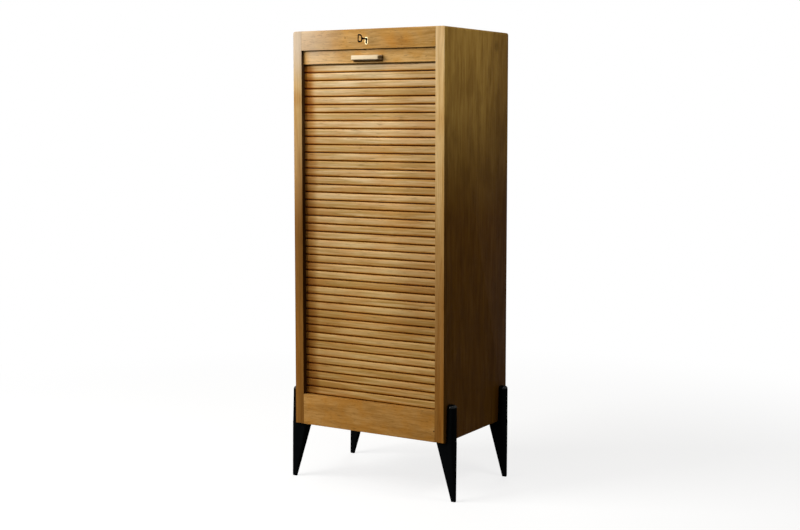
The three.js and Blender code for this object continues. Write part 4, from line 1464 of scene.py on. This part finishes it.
def mix_shaders(tree, factor, first, second):
    node = place(tree, "ShaderNodeMixShader", Fac=factor)
    feed(tree, first.outputs[0], node.inputs[1])
    feed(tree, second.outputs[0], node.inputs[2])
    return node


def floor_material(colours, stage):
    """A pale floor that keeps the shadow and fades to white away from the cabinet."""
    material, tree, surface, point = new_material("pale_floor")
    surface.inputs["Roughness"].default_value = 0.8
    surface.inputs["Specular IOR Level"].default_value = 0.0
    specks = calc(tree, "MULTIPLY", noise(tree, point, scale=30.0), 0.05)
    feed(tree, blend(tree, specks, colours.floor, colours.floor_speck), surface.inputs["Base Color"])
    glow = place(tree, "ShaderNodeEmission", Color=WHITE, Strength=stage.floor_glow)
    lift = place(tree, "ShaderNodeAddShader")
    feed(tree, surface.outputs[0], lift.inputs[0])
    feed(tree, glow.outputs[0], lift.inputs[1])
    distance = span(tree, vector_calc(tree, "MULTIPLY", point, (1, 1, 0)))
    white = place(tree, "ShaderNodeEmission", Color=WHITE, Strength=1.0)
    pale = mix_shaders(tree, between(tree, distance, stage.fade_start, stage.fade_end), lift, white)
    grey = place(tree, "ShaderNodeBsdfDiffuse", Color=colours.floor_grey)
    chosen = mix_shaders(tree, camera_rays(tree), grey, pale)
    feed(tree, chosen.outputs[0], tree.nodes["Material Output"].inputs["Surface"])
    return material


def make_world(stage):
    """White where the camera looks, and dim for the light that it throws."""
    world = bpy.data.worlds.new("studio")
    bpy.context.scene.world = world
    world.use_nodes = True
    tree = world.node_tree
    tree.nodes.clear()
    dim = place(tree, "ShaderNodeBackground", Color=WHITE, Strength=stage.world_level)
    white = place(tree, "ShaderNodeBackground", Color=WHITE, Strength=1.0)
    chosen = mix_shaders(tree, camera_rays(tree), dim, white)
    output = place(tree, "ShaderNodeOutputWorld")
    feed(tree, chosen.outputs[0], output.inputs["Surface"])


def add_lamp(name, spot, aim, side, watts):
    data = bpy.data.lights.new(name, "AREA")
    data.shape = "SQUARE"
    data.size = side
    data.energy = watts
    lamp = bpy.data.objects.new(name, data)
    lamp.location = spot
    lamp.rotation_euler = (Vector(aim) - Vector(spot)).to_track_quat("-Z", "Y").to_euler()
    lamp.visible_camera = False
    bpy.context.scene.collection.objects.link(lamp)


def make_camera(stage):
    scene = bpy.context.scene
    data = bpy.data.cameras.new("camera")
    data.lens = stage.lens
    data.sensor_width = 36.0
    data.sensor_fit = "HORIZONTAL"
    data.shift_y = stage.shift
    data.clip_end = 60.0
    camera = bpy.data.objects.new("camera", data)
    camera.location = stage.camera_place
    camera.rotation_euler = (math.pi / 2 - stage.camera_dip, 0, stage.camera_turn)
    scene.collection.objects.link(camera)
    scene.camera = camera


def make_stage(colours, stage):
    bm = bmesh.new()
    bmesh.ops.create_circle(bm, cap_ends=True, segments=96, radius=stage.floor_radius)
    floor = new_object("floor", bm)
    floor.data.materials.append(floor_material(colours, stage))
    make_world(stage)
    for name, (spot, aim, side, power_name) in LAMPS.items():
        add_lamp(name, spot, aim, side, getattr(stage, power_name))
    make_camera(stage)
    bpy.context.scene.view_settings.view_transform = "Standard"


# Operators


class CABINET_OT_stage(bpy.types.Operator):
    """Lay the floor, hang the lamps and set the camera"""

    bl_idname = "cabinet.stage"
    bl_label = "Stage"

    def execute(self, context):
        make_stage(context.scene.cabinet_colours, context.scene.cabinet_stage)
        return {"FINISHED"}


class CABINET_OT_stiles(bpy.types.Operator):
    """Build the two front stiles with their rounded corners"""

    bl_idname = "cabinet.stiles"
    bl_label = "Stiles"

    def execute(self, context):
        make_stiles(context.scene.cabinet_sizes)
        return {"FINISHED"}


class CABINET_OT_sides(bpy.types.Operator):
    """Build the two veneered side panels"""

    bl_idname = "cabinet.sides"
    bl_label = "Side panels"

    def execute(self, context):
        make_sides(context.scene.cabinet_sizes)
        return {"FINISHED"}


class CABINET_OT_rails(bpy.types.Operator):
    """Build the top rail, and the bottom rail with its nail hole"""

    bl_idname = "cabinet.rails"
    bl_label = "Rails"

    def execute(self, context):
        make_top_rail(context.scene.cabinet_sizes)
        make_bottom_rail(context.scene.cabinet_sizes)
        return {"FINISHED"}


class CABINET_OT_inside(bpy.types.Operator):
    """Build the shelves and floor, and finish the boards of the case that stay as they are"""

    bl_idname = "cabinet.inside"
    bl_label = "Inside"

    def execute(self, context):
        make_shelves(context.scene.cabinet_sizes)
        dress("plain_flat", "top_panel", "bottom_board")
        dress("plain_upright", "back_panel", "false_back", "curtain_guide_left", "curtain_guide_right")
        return {"FINISHED"}


class CABINET_OT_legs(bpy.types.Operator):
    """Build the four tapered legs"""

    bl_idname = "cabinet.legs"
    bl_label = "Legs"

    def execute(self, context):
        make_legs(context.scene.cabinet_leg_sizes, context.scene.cabinet_sizes.steps)
        return {"FINISHED"}


class CABINET_OT_slats(bpy.types.Operator):
    """Build the curtain's slats in pairs on their canvas"""

    bl_idname = "cabinet.slats"
    bl_label = "Slats"

    def execute(self, context):
        make_slats(context.scene.cabinet_sizes)
        return {"FINISHED"}


class CABINET_OT_lead_rail(bpy.types.Operator):
    """Build the rail at the curtain's top"""

    bl_idname = "cabinet.lead_rail"
    bl_label = "Lead rail"

    def execute(self, context):
        make_lead_rail(context.scene.cabinet_sizes)
        return {"FINISHED"}


class CABINET_OT_pull_bar(bpy.types.Operator):
    """Build the pull bar with its finger cove"""

    bl_idname = "cabinet.pull_bar"
    bl_label = "Pull bar"

    def execute(self, context):
        make_handle(context.scene.cabinet_sizes)
        return {"FINISHED"}


class CABINET_OT_lock(bpy.types.Operator):
    """Build the keyhole liner, and finish the lock, its bolt and every screw"""

    bl_idname = "cabinet.lock"
    bl_label = "Lock"

    def execute(self, context):
        make_liner(context.scene.cabinet_key_sizes, context.scene.cabinet_sizes.steps)
        dress("steel", "lock_case", "lock_cover", "lock_bolt")
        dress("key_metal", "link_plate")
        for node in SCREW_NODES:
            dress("brass" if node.startswith("lock_") else "steel", node)
        return {"FINISHED"}


class CABINET_OT_key(bpy.types.Operator):
    """Build the key with its D-shaped bow"""

    bl_idname = "cabinet.key"
    bl_label = "Key"

    def execute(self, context):
        make_key(context.scene.cabinet_key_sizes, context.scene.cabinet_sizes.steps)
        return {"FINISHED"}


OPERATORS = (
    CABINET_OT_stage,
    CABINET_OT_sides,
    CABINET_OT_stiles,
    CABINET_OT_rails,
    CABINET_OT_inside,
    CABINET_OT_legs,
    CABINET_OT_slats,
    CABINET_OT_lead_rail,
    CABINET_OT_pull_bar,
    CABINET_OT_lock,
    CABINET_OT_key,
)


class CABINET_PT_panel(bpy.types.Panel):
    """Lists the cabinet's sizes, colours and operators"""

    bl_label = "Tambour Cabinet"
    bl_idname = "CABINET_PT_panel"
    bl_space_type = "VIEW_3D"
    bl_region_type = "UI"
    bl_category = "Cabinet"

    def draw(self, context):
        for operator in OPERATORS:
            self.layout.operator(operator.bl_idname)
        for holder in PROPERTY_HOLDERS:
            box = self.layout.box()
            settings = getattr(context.scene, holder)
            for name in settings.bl_rna.properties.keys():
                if name not in ("rna_type", "name"):
                    box.prop(settings, name)


PROPERTY_HOLDERS = {
    "cabinet_sizes": CabinetSizes,
    "cabinet_leg_sizes": CabinetLegSizes,
    "cabinet_key_sizes": CabinetKeySizes,
    "cabinet_colours": CabinetColours,
    "cabinet_stage": CabinetStage,
}


def register():
    for group in PROPERTY_HOLDERS.values():
        bpy.utils.register_class(group)
    for operator in OPERATORS:
        bpy.utils.register_class(operator)
    bpy.utils.register_class(CABINET_PT_panel)
    for holder, group in PROPERTY_HOLDERS.items():
        setattr(bpy.types.Scene, holder, PointerProperty(type=group))


def unregister():
    for holder in PROPERTY_HOLDERS:
        delattr(bpy.types.Scene, holder)
    bpy.utils.unregister_class(CABINET_PT_panel)
    for operator in reversed(OPERATORS):
        bpy.utils.unregister_class(operator)
    for group in reversed(list(PROPERTY_HOLDERS.values())):
        bpy.utils.unregister_class(group)


def main():
    register()
    for operator in OPERATORS:
        area, name = operator.bl_idname.split(".")
        getattr(getattr(bpy.ops, area), name)()


if __name__ == "__main__":
    main()
